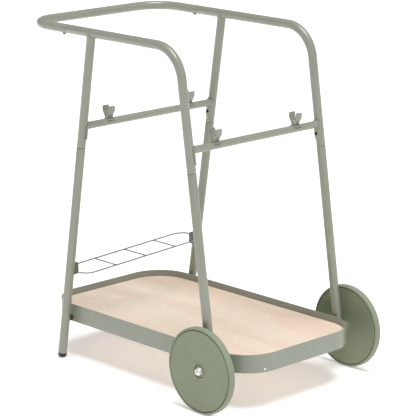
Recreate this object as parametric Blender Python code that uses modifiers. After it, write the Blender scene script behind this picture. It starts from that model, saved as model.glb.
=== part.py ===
"""Two-wheeled utility trolley: a bent tube frame over a rimmed wooden tray.

The frame is two side frames of round tube joined by a U-shaped push handle and
two crossbars. The crossbars carry four spring clips. A wire rack hangs between
the rear legs, and the front legs stand on two large flat disc wheels.

Axes: +X from the handle to the wheels, +Y to the left of someone who pushes,
+Z up. The origin is on the floor, under the middle of the whole object.
All lengths are in metres.
"""

import math

import bmesh
import bpy
from mathutils import Matrix, Vector

# ---------------------------------------------------------------- dimensions
GAP = 0.0003  # between pieces that touch
SIDES = (("left", 1), ("right", -1))

# tube frame
TUBE_R = 0.011
TUBE_WALL = 0.0015
TRACK_HALF = 0.217  # middle plane to the axis of each side frame
RAIL_Z = 0.840
REAR_TOP_X = -0.1343  # rear leg axis meets the rail axis here
REAR_FOOT_X = -0.2656  # rear leg axis meets the floor here
FRONT_CORNER_X = 0.1688  # rail axis and front leg axis cross here
RAIL_BEND_R = 0.084
LEG_SEAM_Z = 0.5546
SEAM_GAP = 0.0006
SLEEVE_R = 0.0090
SLEEVE_WALL = 0.0015
LEG_SLEEVE_LENGTH = 0.044

# push handle
HANDLE_X = -0.3699
HANDLE_CORNER_R = 0.073
HANDLE_SEAM_X = -0.2194
HANDLE_SLEEVE_LENGTH = 0.060
HANDLE_SCREW_X = HANDLE_SEAM_X - 0.0145

# wheels
WHEEL_R = 0.1037
AXLE_X = 0.2772
AXLE_Z = WHEEL_R
WHEEL_INNER_Y = 0.2411
WHEEL_THICKNESS = 0.0175
DISC_R = 0.0976
TYRE_INNER_R = 0.0979
RIM_CHAMFER = 0.0008
HUB_RECESS_R = 0.0160
HUB_RECESS_DEPTH = 0.0020
BOSS_R = 0.0120
BOSS_END_Y = 0.2286
BORE_R = 0.0043
WHEEL_STEPS = 36

# axle bolts and nuts
BOLT_R = 0.0040
BOLT_HEAD_R = 0.0100
BOLT_HEAD_FACE_Y = 0.2662
BOLT_TIP_Y = 0.1880
NUT_ACROSS_CORNERS_R = 0.0072
NUT_Y = (0.1894, 0.1959)

# crossbars, saddles and clips
BAR_Z = 0.6078
BAR_R = 0.009
BAR_WALL = 0.0012
SADDLE_INNER_R = TUBE_R + GAP
SADDLE_OUTER_R = SADDLE_INNER_R + 0.0020
SADDLE_UP = 0.011
SADDLE_DOWN = 0.036
SADDLE_HALF_WIDTH = 0.0128  # wraps almost half of the leg
SADDLE_CORNER_R = 0.0100
SADDLE_SCREW_DOWN = 0.023
CLIP_Y = 0.134
CLIP_HALF_WIDTH = 0.010
CLIP_STRIP = 0.0018

# tray
TRAY_X = (-0.3467, 0.3732)
TRAY_HALF_WIDTH = 0.1989
TRAY_CORNER_R = 0.0947
RIM_Z = (0.0948, 0.1395)
RIM_SHEET = 0.0020
PANEL_TOP_Z = 0.1235
PANEL_THICKNESS = 0.0120
PANEL_CLEARANCE = 0.0005
TAB_THICKNESS = 0.0020
TAB_WIDTH = 0.016
REAR_SCREW_XY = (-0.3390, 0.063)
SIDE_SCREW_XY = (0.2993, 0.1885)
PANEL_SCREW_HEAD = (0.0030, 0.0020)
PANEL_SCREW_SINK = 0.0024  # each head lies just below the panel's face
RIVET_Y = 0.1335
RIVET_Z = 0.1030
TRAY_BOLT_Z = 0.1037
TRAY_BOLT_R = 0.0030
TRAY_BOLT_HOLE_R = 0.0033

# wire rack between the rear legs
WIRE_R = 0.0019
RACK_Z = 0.2383
RACK_SLOPE = 0.0477  # rise along +Y
RACK_HALF_WIDTH = 0.0423
RACK_HALF_LENGTH = 0.2030
RACK_CORNER_R = 0.032
RUNG_Y = (-0.1012, 0.0, 0.1012)
BRACKET_HALF_WIDTH = 0.008
BRACKET_HALF_HEIGHT = 0.015
BRACKET_FACE_Y = 0.1962
WIRE_HOLE_R = 0.0023

# rear feet
FOOT_TOP = 0.0125  # leg tube ends this far up its axis
FOOT_FLOOR_R = 0.0055

# ------------------------------------------------------------------ materials
PAINT = ("sage_paint", (0.318, 0.342, 0.274), 0.42, 0.0)
RIM_PAINT = ("rim_paint", (0.300, 0.325, 0.265), 0.42, 0.0)
WHEEL_PLASTIC = ("wheel_plastic", (0.253, 0.296, 0.196), 0.50, 0.0)
TYRE_RUBBER = ("tyre_rubber", (0.300, 0.340, 0.250), 0.60, 0.0)
BLACK_PLASTIC = ("black_plastic", (0.015, 0.015, 0.014), 0.45, 0.0)
DARK_STEEL = ("dark_steel", (0.060, 0.058, 0.050), 0.40, 1.0)
ZINC = ("zinc", (0.720, 0.730, 0.740), 0.28, 1.0)
WIRE_PAINT = ("wire_paint", (0.265, 0.275, 0.235), 0.42, 0.0)
BARE_STEEL = ("bare_steel", (0.400, 0.400, 0.400), 0.40, 1.0)
PLYWOOD = ("plywood", (0.787, 0.638, 0.523), 0.55, 0.0)


def clear_scene():
    for obj in list(bpy.data.objects):
        bpy.data.objects.remove(obj, do_unlink=True)


def new_collection(name, hidden=False):
    collection = bpy.data.collections.new(name)
    bpy.context.scene.collection.children.link(collection)
    collection.hide_render = hidden
    return collection


def material(spec):
    name, colour, roughness, metallic = spec
    found = bpy.data.materials.get(name)
    if found:
        return found
    made = bpy.data.materials.new(name)
    made.use_nodes = True
    shader = made.node_tree.nodes["Principled BSDF"]
    shader.inputs["Base Color"].default_value = (*colour, 1.0)
    shader.inputs["Roughness"].default_value = roughness
    shader.inputs["Metallic"].default_value = metallic
    made.diffuse_color = (*colour, 1.0)
    return made


def finish_part(obj, name, spec):
    """Names the object, gives it its material and puts it among the parts."""
    obj.name = name
    obj.data.name = name
    obj.data.materials.clear()
    obj.data.materials.append(material(spec))
    for holder in list(obj.users_collection):
        holder.objects.unlink(obj)
    PARTS.objects.link(obj)
    obj.data.shade_smooth()
    obj.data.set_sharp_from_angle(angle=math.radians(32))
    return obj


def as_cutter(obj, name):
    obj.name = name
    obj.display_type = "WIRE"
    obj.hide_render = True
    for holder in list(obj.users_collection):
        holder.objects.unlink(obj)
    CUTTERS.objects.link(obj)
    return obj


def boolean(obj, cutter, operation="DIFFERENCE"):
    modifier = obj.modifiers.new(cutter.name, "BOOLEAN")
    modifier.operation = operation
    modifier.solver = "EXACT"
    modifier.object = cutter
    return obj


def frame_at(origin, z_axis, x_hint=Vector((1, 0, 0))):
    """A placement whose local Z is z_axis and whose local X is close to x_hint."""
    z_axis = Vector(z_axis).normalized()
    y_axis = z_axis.cross(Vector(x_hint)).normalized()
    x_axis = y_axis.cross(z_axis)
    rotation = Matrix((x_axis, y_axis, z_axis)).transposed().to_4x4()
    return Matrix.Translation(origin) @ rotation


def mesh_object(name, mesh, placement=None):
    obj = bpy.data.objects.new(name, mesh)
    bpy.context.scene.collection.objects.link(obj)
    if placement is not None:
        obj.matrix_world = placement
    return obj


def cylinder(name, start, end, radius, sides=24):
    """A closed cylinder between two points."""
    start, end = Vector(start), Vector(end)
    axis = end - start
    hint = (1, 0, 0) if abs(axis.normalized().x) < 0.9 else (0, 1, 0)
    mesh = bpy.data.meshes.new(name)
    shape = bmesh.new()
    bmesh.ops.create_cone(shape, cap_ends=True, segments=sides, radius1=radius,
                          radius2=radius, depth=axis.length)
    shape.to_mesh(mesh)
    shape.free()
    return mesh_object(name, mesh, frame_at((start + end) / 2, axis, Vector(hint)))


def box(name, centre, size, turn_z=0.0):
    mesh = bpy.data.meshes.new(name)
    shape = bmesh.new()
    bmesh.ops.create_cube(shape, size=1.0)
    bmesh.ops.scale(shape, vec=size, verts=shape.verts)
    shape.to_mesh(mesh)
    shape.free()
    placement = Matrix.Translation(centre) @ Matrix.Rotation(turn_z, 4, "Z")
    return mesh_object(name, mesh, placement)


def mesh_from_curve(curve_object):
    """Turns a curve into a mesh with welded caps, in the same place."""
    bpy.context.view_layer.update()
    graph = bpy.context.evaluated_depsgraph_get()
    mesh = bpy.data.meshes.new_from_object(curve_object.evaluated_get(graph))
    shape = bmesh.new()
    shape.from_mesh(mesh)
    bmesh.ops.remove_doubles(shape, verts=shape.verts, dist=1e-6)
    shape.to_mesh(mesh)
    shape.free()
    made = mesh_object(curve_object.name + "_mesh", mesh, curve_object.matrix_world.copy())
    bpy.data.objects.remove(curve_object, do_unlink=True)
    return made


def sweep(name, points, radius, ring=6, closed=False, caps=False):
    """A round section swept along points, with 4 + 2 * ring sides."""
    data = bpy.data.curves.new(name, "CURVE")
    data.dimensions = "3D"
    data.bevel_depth = radius
    data.bevel_resolution = ring
    data.use_fill_caps = caps
    spline = data.splines.new("POLY")
    spline.points.add(len(points) - 1)
    for point, place in zip(spline.points, points):
        point.co = (*place, 1.0)
    spline.use_cyclic_u = closed
    curve = bpy.data.objects.new(name, data)
    bpy.context.scene.collection.objects.link(curve)
    return mesh_from_curve(curve)


def hollow_tube(name, points, radius, wall, ring=6):
    tube = sweep(name, points, radius, ring)
    wall_modifier = tube.modifiers.new("wall", "SOLIDIFY")
    wall_modifier.thickness = wall
    wall_modifier.offset = -1.0
    wall_modifier.use_even_offset = True
    return tube


def prism(name, outline, half_thickness, placement):
    """A flat outline given half a thickness each way along local Z."""
    data = bpy.data.curves.new(name, "CURVE")
    data.dimensions = "2D"
    data.fill_mode = "BOTH"
    data.extrude = half_thickness
    spline = data.splines.new("POLY")
    spline.points.add(len(outline) - 1)
    for point, (x, y) in zip(spline.points, outline):
        point.co = (x, y, 0.0, 1.0)
    spline.use_cyclic_u = True
    curve = bpy.data.objects.new(name, data)
    bpy.context.scene.collection.objects.link(curve)
    curve.matrix_world = placement
    return mesh_from_curve(curve)


def turned(name, profile, placement, steps=16, closed=False):
    """Turns a profile of (radius, height) points, outer side running down."""
    mesh = bpy.data.meshes.new(name)
    shape = bmesh.new()
    verts = [shape.verts.new((radius, 0.0, height)) for radius, height in profile]
    for first, second in zip(verts, verts[1:]):
        shape.edges.new((first, second))
    if closed:
        shape.edges.new((verts[-1], verts[0]))
    shape.to_mesh(mesh)
    shape.free()
    obj = mesh_object(name, mesh, placement)
    screw = obj.modifiers.new("turn", "SCREW")
    screw.axis = "Z"
    screw.angle = math.tau
    screw.steps = steps
    screw.render_steps = steps
    screw.use_merge_vertices = True
    screw.merge_threshold = 1e-5
    screw.use_smooth_shade = True
    return obj


def filleted(corners, radii, steps=8):
    """A path through corners, with an arc of the given radius at each inner one."""
    path = [Vector(corners[0])]
    for before, corner, after, radius in zip(corners, corners[1:], corners[2:], radii):
        corner = Vector(corner)
        to_before = (Vector(before) - corner).normalized()
        to_after = (Vector(after) - corner).normalized()
        half = to_before.angle(to_after) / 2
        centre = corner + (to_before + to_after).normalized() * radius / math.sin(half)
        first = corner + to_before * radius / math.tan(half) - centre
        last = corner + to_after * radius / math.tan(half) - centre
        turn = first.angle(last)
        for step in range(steps + 1):
            share = step / steps
            arm = (first * math.sin((1 - share) * turn) + last * math.sin(share * turn))
            path.append(centre + arm / math.sin(turn))
    path.append(Vector(corners[-1]))
    return path


def rounded_rectangle(x_low, x_high, half_width, radius, steps=9):
    """Outline points of a rectangle with round corners, counter-clockwise."""
    points = []
    for centre_x, centre_y, start in ((x_high - radius, half_width - radius, 0.0),
                                      (x_low + radius, half_width - radius, 0.25),
                                      (x_low + radius, radius - half_width, 0.5),
                                      (x_high - radius, radius - half_width, 0.75)):
        for step in range(steps + 1):
            angle = math.tau * (start + 0.25 * step / steps)
            points.append((centre_x + radius * math.cos(angle),
                           centre_y + radius * math.sin(angle)))
    return points


def screw_piece(name, spec, seat, outward, head, shank, steps=10):
    """A domed screw: head = (radius, height), shank = (radius, length)."""
    head_r, head_h = head
    shank_r, shank_length = shank
    profile = [(0.0, head_h), (head_r * 0.55, head_h * 0.92), (head_r * 0.88, head_h * 0.55),
               (head_r, 0.0), (shank_r, 0.0), (shank_r, -shank_length), (0.0, -shank_length)]
    outward = Vector(outward)
    hint = Vector((1, 0, 0)) if abs(outward.x) < 0.9 else Vector((0, 1, 0))
    placement = frame_at(Vector(seat) + outward * GAP, outward, hint)
    return finish_part(turned(name, profile, placement, steps), name, spec)


# ---------------------------------------------------------------- leg geometry
REAR_DOWN = Vector((REAR_FOOT_X - REAR_TOP_X, 0, -RAIL_Z)).normalized()
FRONT_DOWN = Vector((AXLE_X - FRONT_CORNER_X, 0, AXLE_Z - RAIL_Z)).normalized()


def on_rear_leg(z, side):
    share = (RAIL_Z - z) / RAIL_Z
    return Vector((REAR_TOP_X + (REAR_FOOT_X - REAR_TOP_X) * share, side * TRACK_HALF, z))


def on_front_leg(z, side):
    share = (RAIL_Z - z) / (RAIL_Z - AXLE_Z)
    return Vector((FRONT_CORNER_X + (AXLE_X - FRONT_CORNER_X) * share, side * TRACK_HALF, z))


LEGS = {"rear": (on_rear_leg, REAR_DOWN), "front": (on_front_leg, FRONT_DOWN)}


def side_hole(name, place, half_from, half_to, radius, sides=12):
    """A cutter along Y at x and z of place, between two distances from the middle plane."""
    side = 1 if place.y > 0 else -1
    return as_cutter(cylinder(name, (place.x, side * half_from, place.z),
                              (place.x, side * half_to, place.z), radius, sides), name)


# -------------------------------------------------------------------- assembly
def build_handle():
    corners = [(HANDLE_SEAM_X - SEAM_GAP / 2, -TRACK_HALF, RAIL_Z),
               (HANDLE_X, -TRACK_HALF, RAIL_Z), (HANDLE_X, TRACK_HALF, RAIL_Z),
               (HANDLE_SEAM_X - SEAM_GAP / 2, TRACK_HALF, RAIL_Z)]
    path = filleted(corners, (HANDLE_CORNER_R, HANDLE_CORNER_R))
    handle = hollow_tube("handle_tube", path, TUBE_R, TUBE_WALL)
    for name, side in SIDES:
        y = side * TRACK_HALF
        sleeve = hollow_tube("sleeve", [(HANDLE_SEAM_X - HANDLE_SLEEVE_LENGTH / 2, y, RAIL_Z),
                                        (HANDLE_SEAM_X + HANDLE_SLEEVE_LENGTH / 2, y, RAIL_Z)],
                             SLEEVE_R, SLEEVE_WALL, 3)
        hole = as_cutter(cylinder("handle_hole_" + name, (HANDLE_SCREW_X, y, RAIL_Z - 0.02),
                                  (HANDLE_SCREW_X, y, RAIL_Z - 0.004), 0.0023, 12),
                         "handle_hole_" + name)
        boolean(handle, hole)
        boolean(sleeve, hole)
        finish_part(sleeve, "handle_sleeve_" + name, BARE_STEEL)
        screw_piece("handle_screw_" + name, DARK_STEEL, (HANDLE_SCREW_X, y, RAIL_Z - TUBE_R),
                    (0, 0, -1), (0.0042, 0.0034), (0.0019, 0.0058))
    finish_part(handle, "handle_tube", PAINT)


def build_side_frame(name, side):
    y = side * TRACK_HALF
    front_seam = on_front_leg(LEG_SEAM_Z, side)
    rear_seam = on_rear_leg(LEG_SEAM_Z, side)

    path = filleted([(HANDLE_SEAM_X + SEAM_GAP / 2, y, RAIL_Z), (FRONT_CORNER_X, y, RAIL_Z),
                     front_seam - FRONT_DOWN * SEAM_GAP / 2], (RAIL_BEND_R,), 10)
    rail = hollow_tube("side_rail", path, TUBE_R, TUBE_WALL)

    rear_top = on_rear_leg(RAIL_Z - 0.004, side)
    rear_upper = hollow_tube("rear_upper", [rear_top, rear_seam - REAR_DOWN * SEAM_GAP / 2],
                             TUBE_R, TUBE_WALL)
    cope = as_cutter(cylinder("rail_cope_" + name, (REAR_TOP_X - 0.04, y, RAIL_Z),
                              (REAR_TOP_X + 0.04, y, RAIL_Z), TUBE_R + GAP, 24),
                     "rail_cope_" + name)
    boolean(rear_upper, cope)

    foot = on_rear_leg(0.0, side)
    rear_lower = hollow_tube("rear_lower", [rear_seam + REAR_DOWN * SEAM_GAP / 2,
                                            foot - REAR_DOWN * FOOT_TOP], TUBE_R, TUBE_WALL)
    leg_end = on_front_leg(AXLE_Z, side) + FRONT_DOWN * 0.022
    front_lower = hollow_tube("front_lower", [front_seam + FRONT_DOWN * SEAM_GAP / 2, leg_end],
                              TUBE_R, TUBE_WALL)
    axle_hole = side_hole("axle_hole_" + name, on_front_leg(AXLE_Z, side), 0.150, 0.235, BORE_R, 16)
    boolean(front_lower, axle_hole)
    tray_hole = side_hole("tray_hole_" + name, on_rear_leg(TRAY_BOLT_Z, side), 0.150, 0.2165,
                          TRAY_BOLT_HOLE_R)
    boolean(rear_lower, tray_hole)

    for leg, tube in (("rear", rear_upper), ("front", rail)):
        on_leg, down = LEGS[leg]
        at_bar = on_leg(BAR_Z, side)
        screw_at = at_bar + down * SADDLE_SCREW_DOWN
        boolean(tube, side_hole(f"{leg}_saddle_hole_{name}", screw_at, 0.195, 0.2165, 0.0023))
        build_saddle(f"{leg}_{name}", at_bar, down, side, screw_at)

    for leg in ("rear", "front"):
        on_leg, down = LEGS[leg]
        seam = on_leg(LEG_SEAM_Z, side)
        reach = down * LEG_SLEEVE_LENGTH / 2
        finish_part(hollow_tube("sleeve", [seam - reach, seam + reach], SLEEVE_R, SLEEVE_WALL, 3),
                    f"{leg}_leg_sleeve_{name}", BARE_STEEL)

    build_foot(name, foot)
    build_bracket(name, side, rear_lower)

    finish_part(rail, "side_rail_" + name, PAINT)
    finish_part(rear_upper, "rear_leg_upper_" + name, PAINT)
    finish_part(rear_lower, "rear_leg_lower_" + name, PAINT)
    finish_part(front_lower, "front_leg_lower_" + name, PAINT)


def build_saddle(name, at_bar, down, side, screw_at):
    """A half-round plate on the inner face of a leg, with rounded corners."""
    plate = cylinder("saddle", at_bar - down * (SADDLE_UP + 0.004),
                     at_bar + down * (SADDLE_DOWN + 0.004), SADDLE_OUTER_R, 24)
    radius = SADDLE_CORNER_R
    outline = []
    for x_sign, z_sign in ((1, 1), (-1, 1), (-1, -1), (1, -1)):
        start = {(1, 1): 0, (-1, 1): 90, (-1, -1): 180, (1, -1): 270}[(x_sign, z_sign)]
        edge = SADDLE_UP if z_sign > 0 else SADDLE_DOWN
        for step in range(6):
            angle = math.radians(start + 18 * step)
            outline.append((x_sign * (SADDLE_HALF_WIDTH - radius) + radius * math.cos(angle),
                            z_sign * (edge - radius) + radius * math.sin(angle)))
    across = Vector((0, 1, 0)).cross(-down)
    placement = Matrix((across, -down, across.cross(-down))).transposed().to_4x4()
    centre = Vector((at_bar.x, side * (TRACK_HALF - 0.009), at_bar.z))
    shape = prism("saddle_outline_" + name, outline, 0.0075, Matrix.Translation(centre) @ placement)
    boolean(plate, as_cutter(shape, "saddle_outline_" + name), "INTERSECT")
    inner = cylinder("saddle_bore_" + name, at_bar - down * 0.03, at_bar + down * 0.05,
                     SADDLE_INNER_R, 24)
    boolean(plate, as_cutter(inner, "saddle_bore_" + name))
    boolean(plate, side_hole("saddle_screw_hole_" + name, screw_at, 0.195, 0.2145, 0.0023))
    finish_part(plate, "crossbar_saddle_" + name, PAINT)
    screw_piece("crossbar_screw_" + name, DARK_STEEL,
                (screw_at.x, side * (TRACK_HALF - SADDLE_OUTER_R), screw_at.z),
                (0, -side, 0), (0.0042, 0.0026), (0.0019, 0.0090))


def clip_outline():
    """Half-round saddle on the bar, a narrow neck, and two flared upright lips."""
    inner_r = BAR_R + GAP
    outer_r = inner_r + CLIP_STRIP
    neck_out, neck_z = 0.0046, BAR_R + 0.0070
    lip_out, lip_z = 0.0120, BAR_R + 0.0190
    top = BAR_R + 0.0310
    neck_in = neck_out - CLIP_STRIP
    lip_in = lip_out - CLIP_STRIP
    reach = math.radians(70)
    points = [(inner_r * math.sin(reach * step / 6), inner_r * math.cos(reach * step / 6))
              for step in range(-6, 7)]
    right_start = math.asin(neck_out / outer_r)
    right = [(outer_r * math.sin(reach + (right_start - reach) * step / 4),
              outer_r * math.cos(reach + (right_start - reach) * step / 4)) for step in range(5)]
    right += [(neck_out, neck_z), (lip_out, lip_z), (lip_out, top), (lip_in, top),
              (lip_in, lip_z + 0.0005), (neck_in, neck_z + 0.0005),
              (neck_in, math.sqrt(outer_r ** 2 - neck_in ** 2))]
    points += right
    points += [(-x, z) for x, z in reversed(right)]
    return points


def build_crossbar(leg, on_leg):
    ends = [on_leg(BAR_Z, -1), on_leg(BAR_Z, 1)]
    x = ends[0].x
    bar = hollow_tube("crossbar", [(x, -0.2100, BAR_Z), (x, 0.2100, BAR_Z)], BAR_R, BAR_WALL)
    down = LEGS[leg][1]
    for place, (name, side) in zip(ends, (("right", -1), ("left", 1))):
        cope = cylinder(f"{leg}_cope_{name}", place - down * 0.04, place + down * 0.04,
                        SADDLE_OUTER_R + GAP, 24)
        boolean(bar, as_cutter(cope, f"{leg}_cope_{name}"))
        centre = (x, side * CLIP_Y, BAR_Z)
        upright = Matrix.Translation(centre) @ Matrix.Rotation(math.radians(90), 4, "X")
        clip = prism("clip", clip_outline(), CLIP_HALF_WIDTH, upright)
        slot = box(f"{leg}_clip_slot_{name}", (x, side * CLIP_Y, BAR_Z + BAR_R + 0.0085),
                   (0.040, 0.0055, 0.0095))
        boolean(clip, as_cutter(slot, f"{leg}_clip_slot_{name}"))
        finish_part(clip, f"{leg}_clip_{name}", PAINT)
    finish_part(bar, leg + "_crossbar", PAINT)


def build_tray():
    low, high = RIM_Z
    outline = rounded_rectangle(*TRAY_X, TRAY_HALF_WIDTH, TRAY_CORNER_R)
    data = bpy.data.curves.new("rim", "CURVE")
    data.dimensions = "2D"
    data.fill_mode = "NONE"
    data.extrude = (high - low) / 2
    spline = data.splines.new("POLY")
    spline.points.add(len(outline) - 1)
    for point, (x, y) in zip(spline.points, outline):
        point.co = (x, y, 0.0, 1.0)
    spline.use_cyclic_u = True
    curve = bpy.data.objects.new("rim", data)
    bpy.context.scene.collection.objects.link(curve)
    curve.matrix_world = Matrix.Translation((0, 0, (low + high) / 2))
    rim = mesh_from_curve(curve)
    wall = rim.modifiers.new("wall", "SOLIDIFY")
    wall.thickness = RIM_SHEET
    wall.offset = -1.0
    wall.use_even_offset = True

    inset = RIM_SHEET + PANEL_CLEARANCE
    panel = prism("panel", rounded_rectangle(TRAY_X[0] + inset, TRAY_X[1] - inset,
                                             TRAY_HALF_WIDTH - inset, TRAY_CORNER_R - inset),
                  PANEL_THICKNESS / 2,
                  Matrix.Translation((0, 0, PANEL_TOP_Z - PANEL_THICKNESS / 2)))

    tab_z = PANEL_TOP_Z - PANEL_THICKNESS - GAP - TAB_THICKNESS / 2
    corner = Vector((TRAY_X[1] - TRAY_CORNER_R, TRAY_HALF_WIDTH - TRAY_CORNER_R, 0))
    wall_middle = TRAY_CORNER_R - RIM_SHEET / 2
    for name, side in SIDES:
        rear_x, rear_y = REAR_SCREW_XY[0], side * REAR_SCREW_XY[1]
        reach = TRAY_X[0] + RIM_SHEET / 2
        depth = rear_x + 0.0080 - reach
        rear_tab = box("rear_tab_" + name, (reach + depth / 2, rear_y, tab_z),
                       (depth, TAB_WIDTH, TAB_THICKNESS))
        side_x, side_y = SIDE_SCREW_XY[0], side * SIDE_SCREW_XY[1]
        centre = Vector((corner.x, side * corner.y, 0))
        outward = Vector((side_x, side_y, 0)) - centre
        start = outward.length - 0.0080
        middle = centre + outward.normalized() * (start + wall_middle) / 2
        side_tab = box("side_tab_" + name, (middle.x, middle.y, tab_z),
                       (wall_middle - start, TAB_WIDTH, TAB_THICKNESS),
                       math.atan2(outward.y, outward.x))
        boolean(rim, as_cutter(rear_tab, "rear_tab_" + name), "UNION")
        boolean(rim, as_cutter(side_tab, "side_tab_" + name), "UNION")
        for place, x, y in (("rear", rear_x, rear_y), ("side", side_x, side_y)):
            hole = cylinder(f"{place}_panel_hole_{name}", (x, y, PANEL_TOP_Z - 0.020),
                            (x, y, PANEL_TOP_Z + 0.010), 0.0021, 12)
            as_cutter(hole, f"{place}_panel_hole_{name}")
            boolean(rim, hole)
            boolean(panel, hole)
            seat_z = PANEL_TOP_Z - PANEL_SCREW_SINK
            seat = cylinder(f"{place}_panel_seat_{name}", (x, y, seat_z),
                            (x, y, PANEL_TOP_Z + 0.010), PANEL_SCREW_HEAD[0] + GAP, 16)
            boolean(panel, as_cutter(seat, f"{place}_panel_seat_{name}"))
            screw_piece(f"panel_screw_{place}_{name}", ZINC, (x, y, seat_z), (0, 0, 1),
                        PANEL_SCREW_HEAD, (0.0017, 0.0150))

        axle_at = on_front_leg(AXLE_Z, side)
        bolt_at = on_rear_leg(TRAY_BOLT_Z, side)
        boolean(rim, side_hole("rim_axle_hole_" + name, axle_at, 0.190, 0.203, BORE_R, 16))
        boolean(rim, side_hole("rim_bolt_hole_" + name, bolt_at, 0.190, 0.203, TRAY_BOLT_HOLE_R))
        build_spacer("front_tray_spacer_" + name, axle_at, side, BORE_R)
        build_spacer("rear_tray_spacer_" + name, bolt_at, side, TRAY_BOLT_HOLE_R)
        screw_piece("tray_bolt_" + name, DARK_STEEL,
                    (bolt_at.x, side * (TRAY_HALF_WIDTH - RIM_SHEET - GAP), bolt_at.z), (0, -side, 0),
                    (0.0060, 0.0036), (TRAY_BOLT_R, 0.0170))

        offset_y = RIVET_Y - corner.y
        offset_x = math.sqrt(TRAY_CORNER_R ** 2 - offset_y ** 2)
        away = Vector((offset_x, side * offset_y, 0)).normalized()
        at_wall = Vector((corner.x + offset_x, side * RIVET_Y, RIVET_Z))
        hole = cylinder("rivet_hole_" + name, at_wall - away * 0.006, at_wall + away * 0.006,
                        0.0021, 12)
        boolean(rim, as_cutter(hole, "rivet_hole_" + name))
        screw_piece("rim_rivet_" + name, ZINC, at_wall, away, (0.0034, 0.0016), (0.0017, 0.0050))

    finish_part(rim, "tray_rim", RIM_PAINT)
    finish_part(panel, "tray_panel", PLYWOOD)


def build_spacer(name, at_leg, side, bore):
    start = TRAY_HALF_WIDTH + GAP
    end = TRACK_HALF - TUBE_R - GAP
    outer = 0.0075
    placement = frame_at((at_leg.x, side * start, at_leg.z), (0, side, 0))
    profile = [(bore, end - start), (outer, end - start), (outer, 0.0), (bore, 0.0)]
    finish_part(turned(name, profile, placement, 16, closed=True), name, BARE_STEEL)


def build_foot(name, foot):
    """A domed cap with a plug up the tube, cut flat where it stands."""
    up = -REAR_DOWN
    start = FOOT_TOP - GAP
    profile = [(0.0, start + 0.014), (0.0080, start + 0.014), (0.0088, start + 0.012),
               (0.0088, start), (TUBE_R, start), (TUBE_R, start - 0.0035),
               (0.0088, start - 0.0080), (0.0066, start - 0.0110), (0.0050, -0.0030),
               (0.0, -0.0030)]
    cap = turned("foot", profile, frame_at(foot, up), 16)
    floor = box("foot_floor_" + name, (foot.x, foot.y, -0.010), (0.06, 0.06, 0.020))
    boolean(cap, as_cutter(floor, "foot_floor_" + name))
    finish_part(cap, "foot_cap_" + name, BLACK_PLASTIC)


def build_bracket(name, side, leg_tube):
    """A moulded block on the inner face of a rear leg. It holds the rack's end wire
    and one screw. Both blocks are the same piece, the right one upside down."""
    centre = on_rear_leg(RACK_Z, side)
    wire_z = RACK_Z + RACK_SLOPE * side * RACK_HALF_LENGTH
    screw_z = 2 * RACK_Z - wire_z
    half_h, nose = BRACKET_HALF_HEIGHT, BRACKET_FACE_Y
    outline = [(side * 0.2165, RACK_Z - half_h), (side * (nose + 0.0045), RACK_Z - half_h),
               (side * (nose + 0.0012), RACK_Z - half_h + 0.0030),
               (side * nose, RACK_Z - half_h + 0.0080),
               (side * nose, RACK_Z + half_h - 0.0080),
               (side * (nose + 0.0012), RACK_Z + half_h - 0.0030),
               (side * (nose + 0.0045), RACK_Z + half_h), (side * 0.2165, RACK_Z + half_h)]
    if side < 0:
        outline.reverse()
    # local X is world Y and local Y is world Z, so local Z is world X
    facing = Matrix(((0, 0, 1), (1, 0, 0), (0, 1, 0))).to_4x4()
    block = prism("bracket", outline, BRACKET_HALF_WIDTH,
                  Matrix.Translation((centre.x, 0, 0)) @ facing)
    leg = cylinder("bracket_leg_" + name, centre - REAR_DOWN * 0.05, centre + REAR_DOWN * 0.05,
                   TUBE_R + GAP, 24)
    boolean(block, as_cutter(leg, "bracket_leg_" + name))
    wire = cylinder("bracket_wire_" + name, (centre.x - 0.02, side * RACK_HALF_LENGTH, wire_z),
                    (centre.x + 0.02, side * RACK_HALF_LENGTH, wire_z), WIRE_HOLE_R, 12)
    boolean(block, as_cutter(wire, "bracket_wire_" + name))
    screw_at = Vector((on_rear_leg(screw_z, side).x, side * TRACK_HALF, screw_z))
    hole = side_hole("bracket_screw_hole_" + name, screw_at, 0.190, 0.2165, 0.0023)
    boolean(block, hole)
    boolean(leg_tube, hole)
    finish_part(block, "rack_bracket_" + name, WIRE_PAINT)
    screw_piece("rack_screw_" + name, DARK_STEEL, (screw_at.x, side * nose, screw_z),
                (0, -side, 0), (0.0040, 0.0020), (0.0019, 0.0160))


def build_wire_rack():
    centre_x = on_rear_leg(RACK_Z, 1).x
    outline = rounded_rectangle(-RACK_HALF_WIDTH, RACK_HALF_WIDTH, RACK_HALF_LENGTH,
                                RACK_CORNER_R, 6)
    loop_points = [(centre_x + x, y, RACK_Z + RACK_SLOPE * y) for x, y in outline]
    loop = sweep("rack_wire_frame", loop_points, WIRE_R, 2, closed=True)
    for number, y in enumerate(RUNG_Y):
        z = RACK_Z + RACK_SLOPE * y
        rung = sweep(f"rung_{number}", [(centre_x - RACK_HALF_WIDTH, y, z),
                                        (centre_x + RACK_HALF_WIDTH, y, z)],
                     WIRE_R * 0.93, 2, caps=True)
        boolean(loop, as_cutter(rung, f"rung_{number}"), "UNION")
    finish_part(loop, "rack_wire_frame", WIRE_PAINT)


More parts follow.
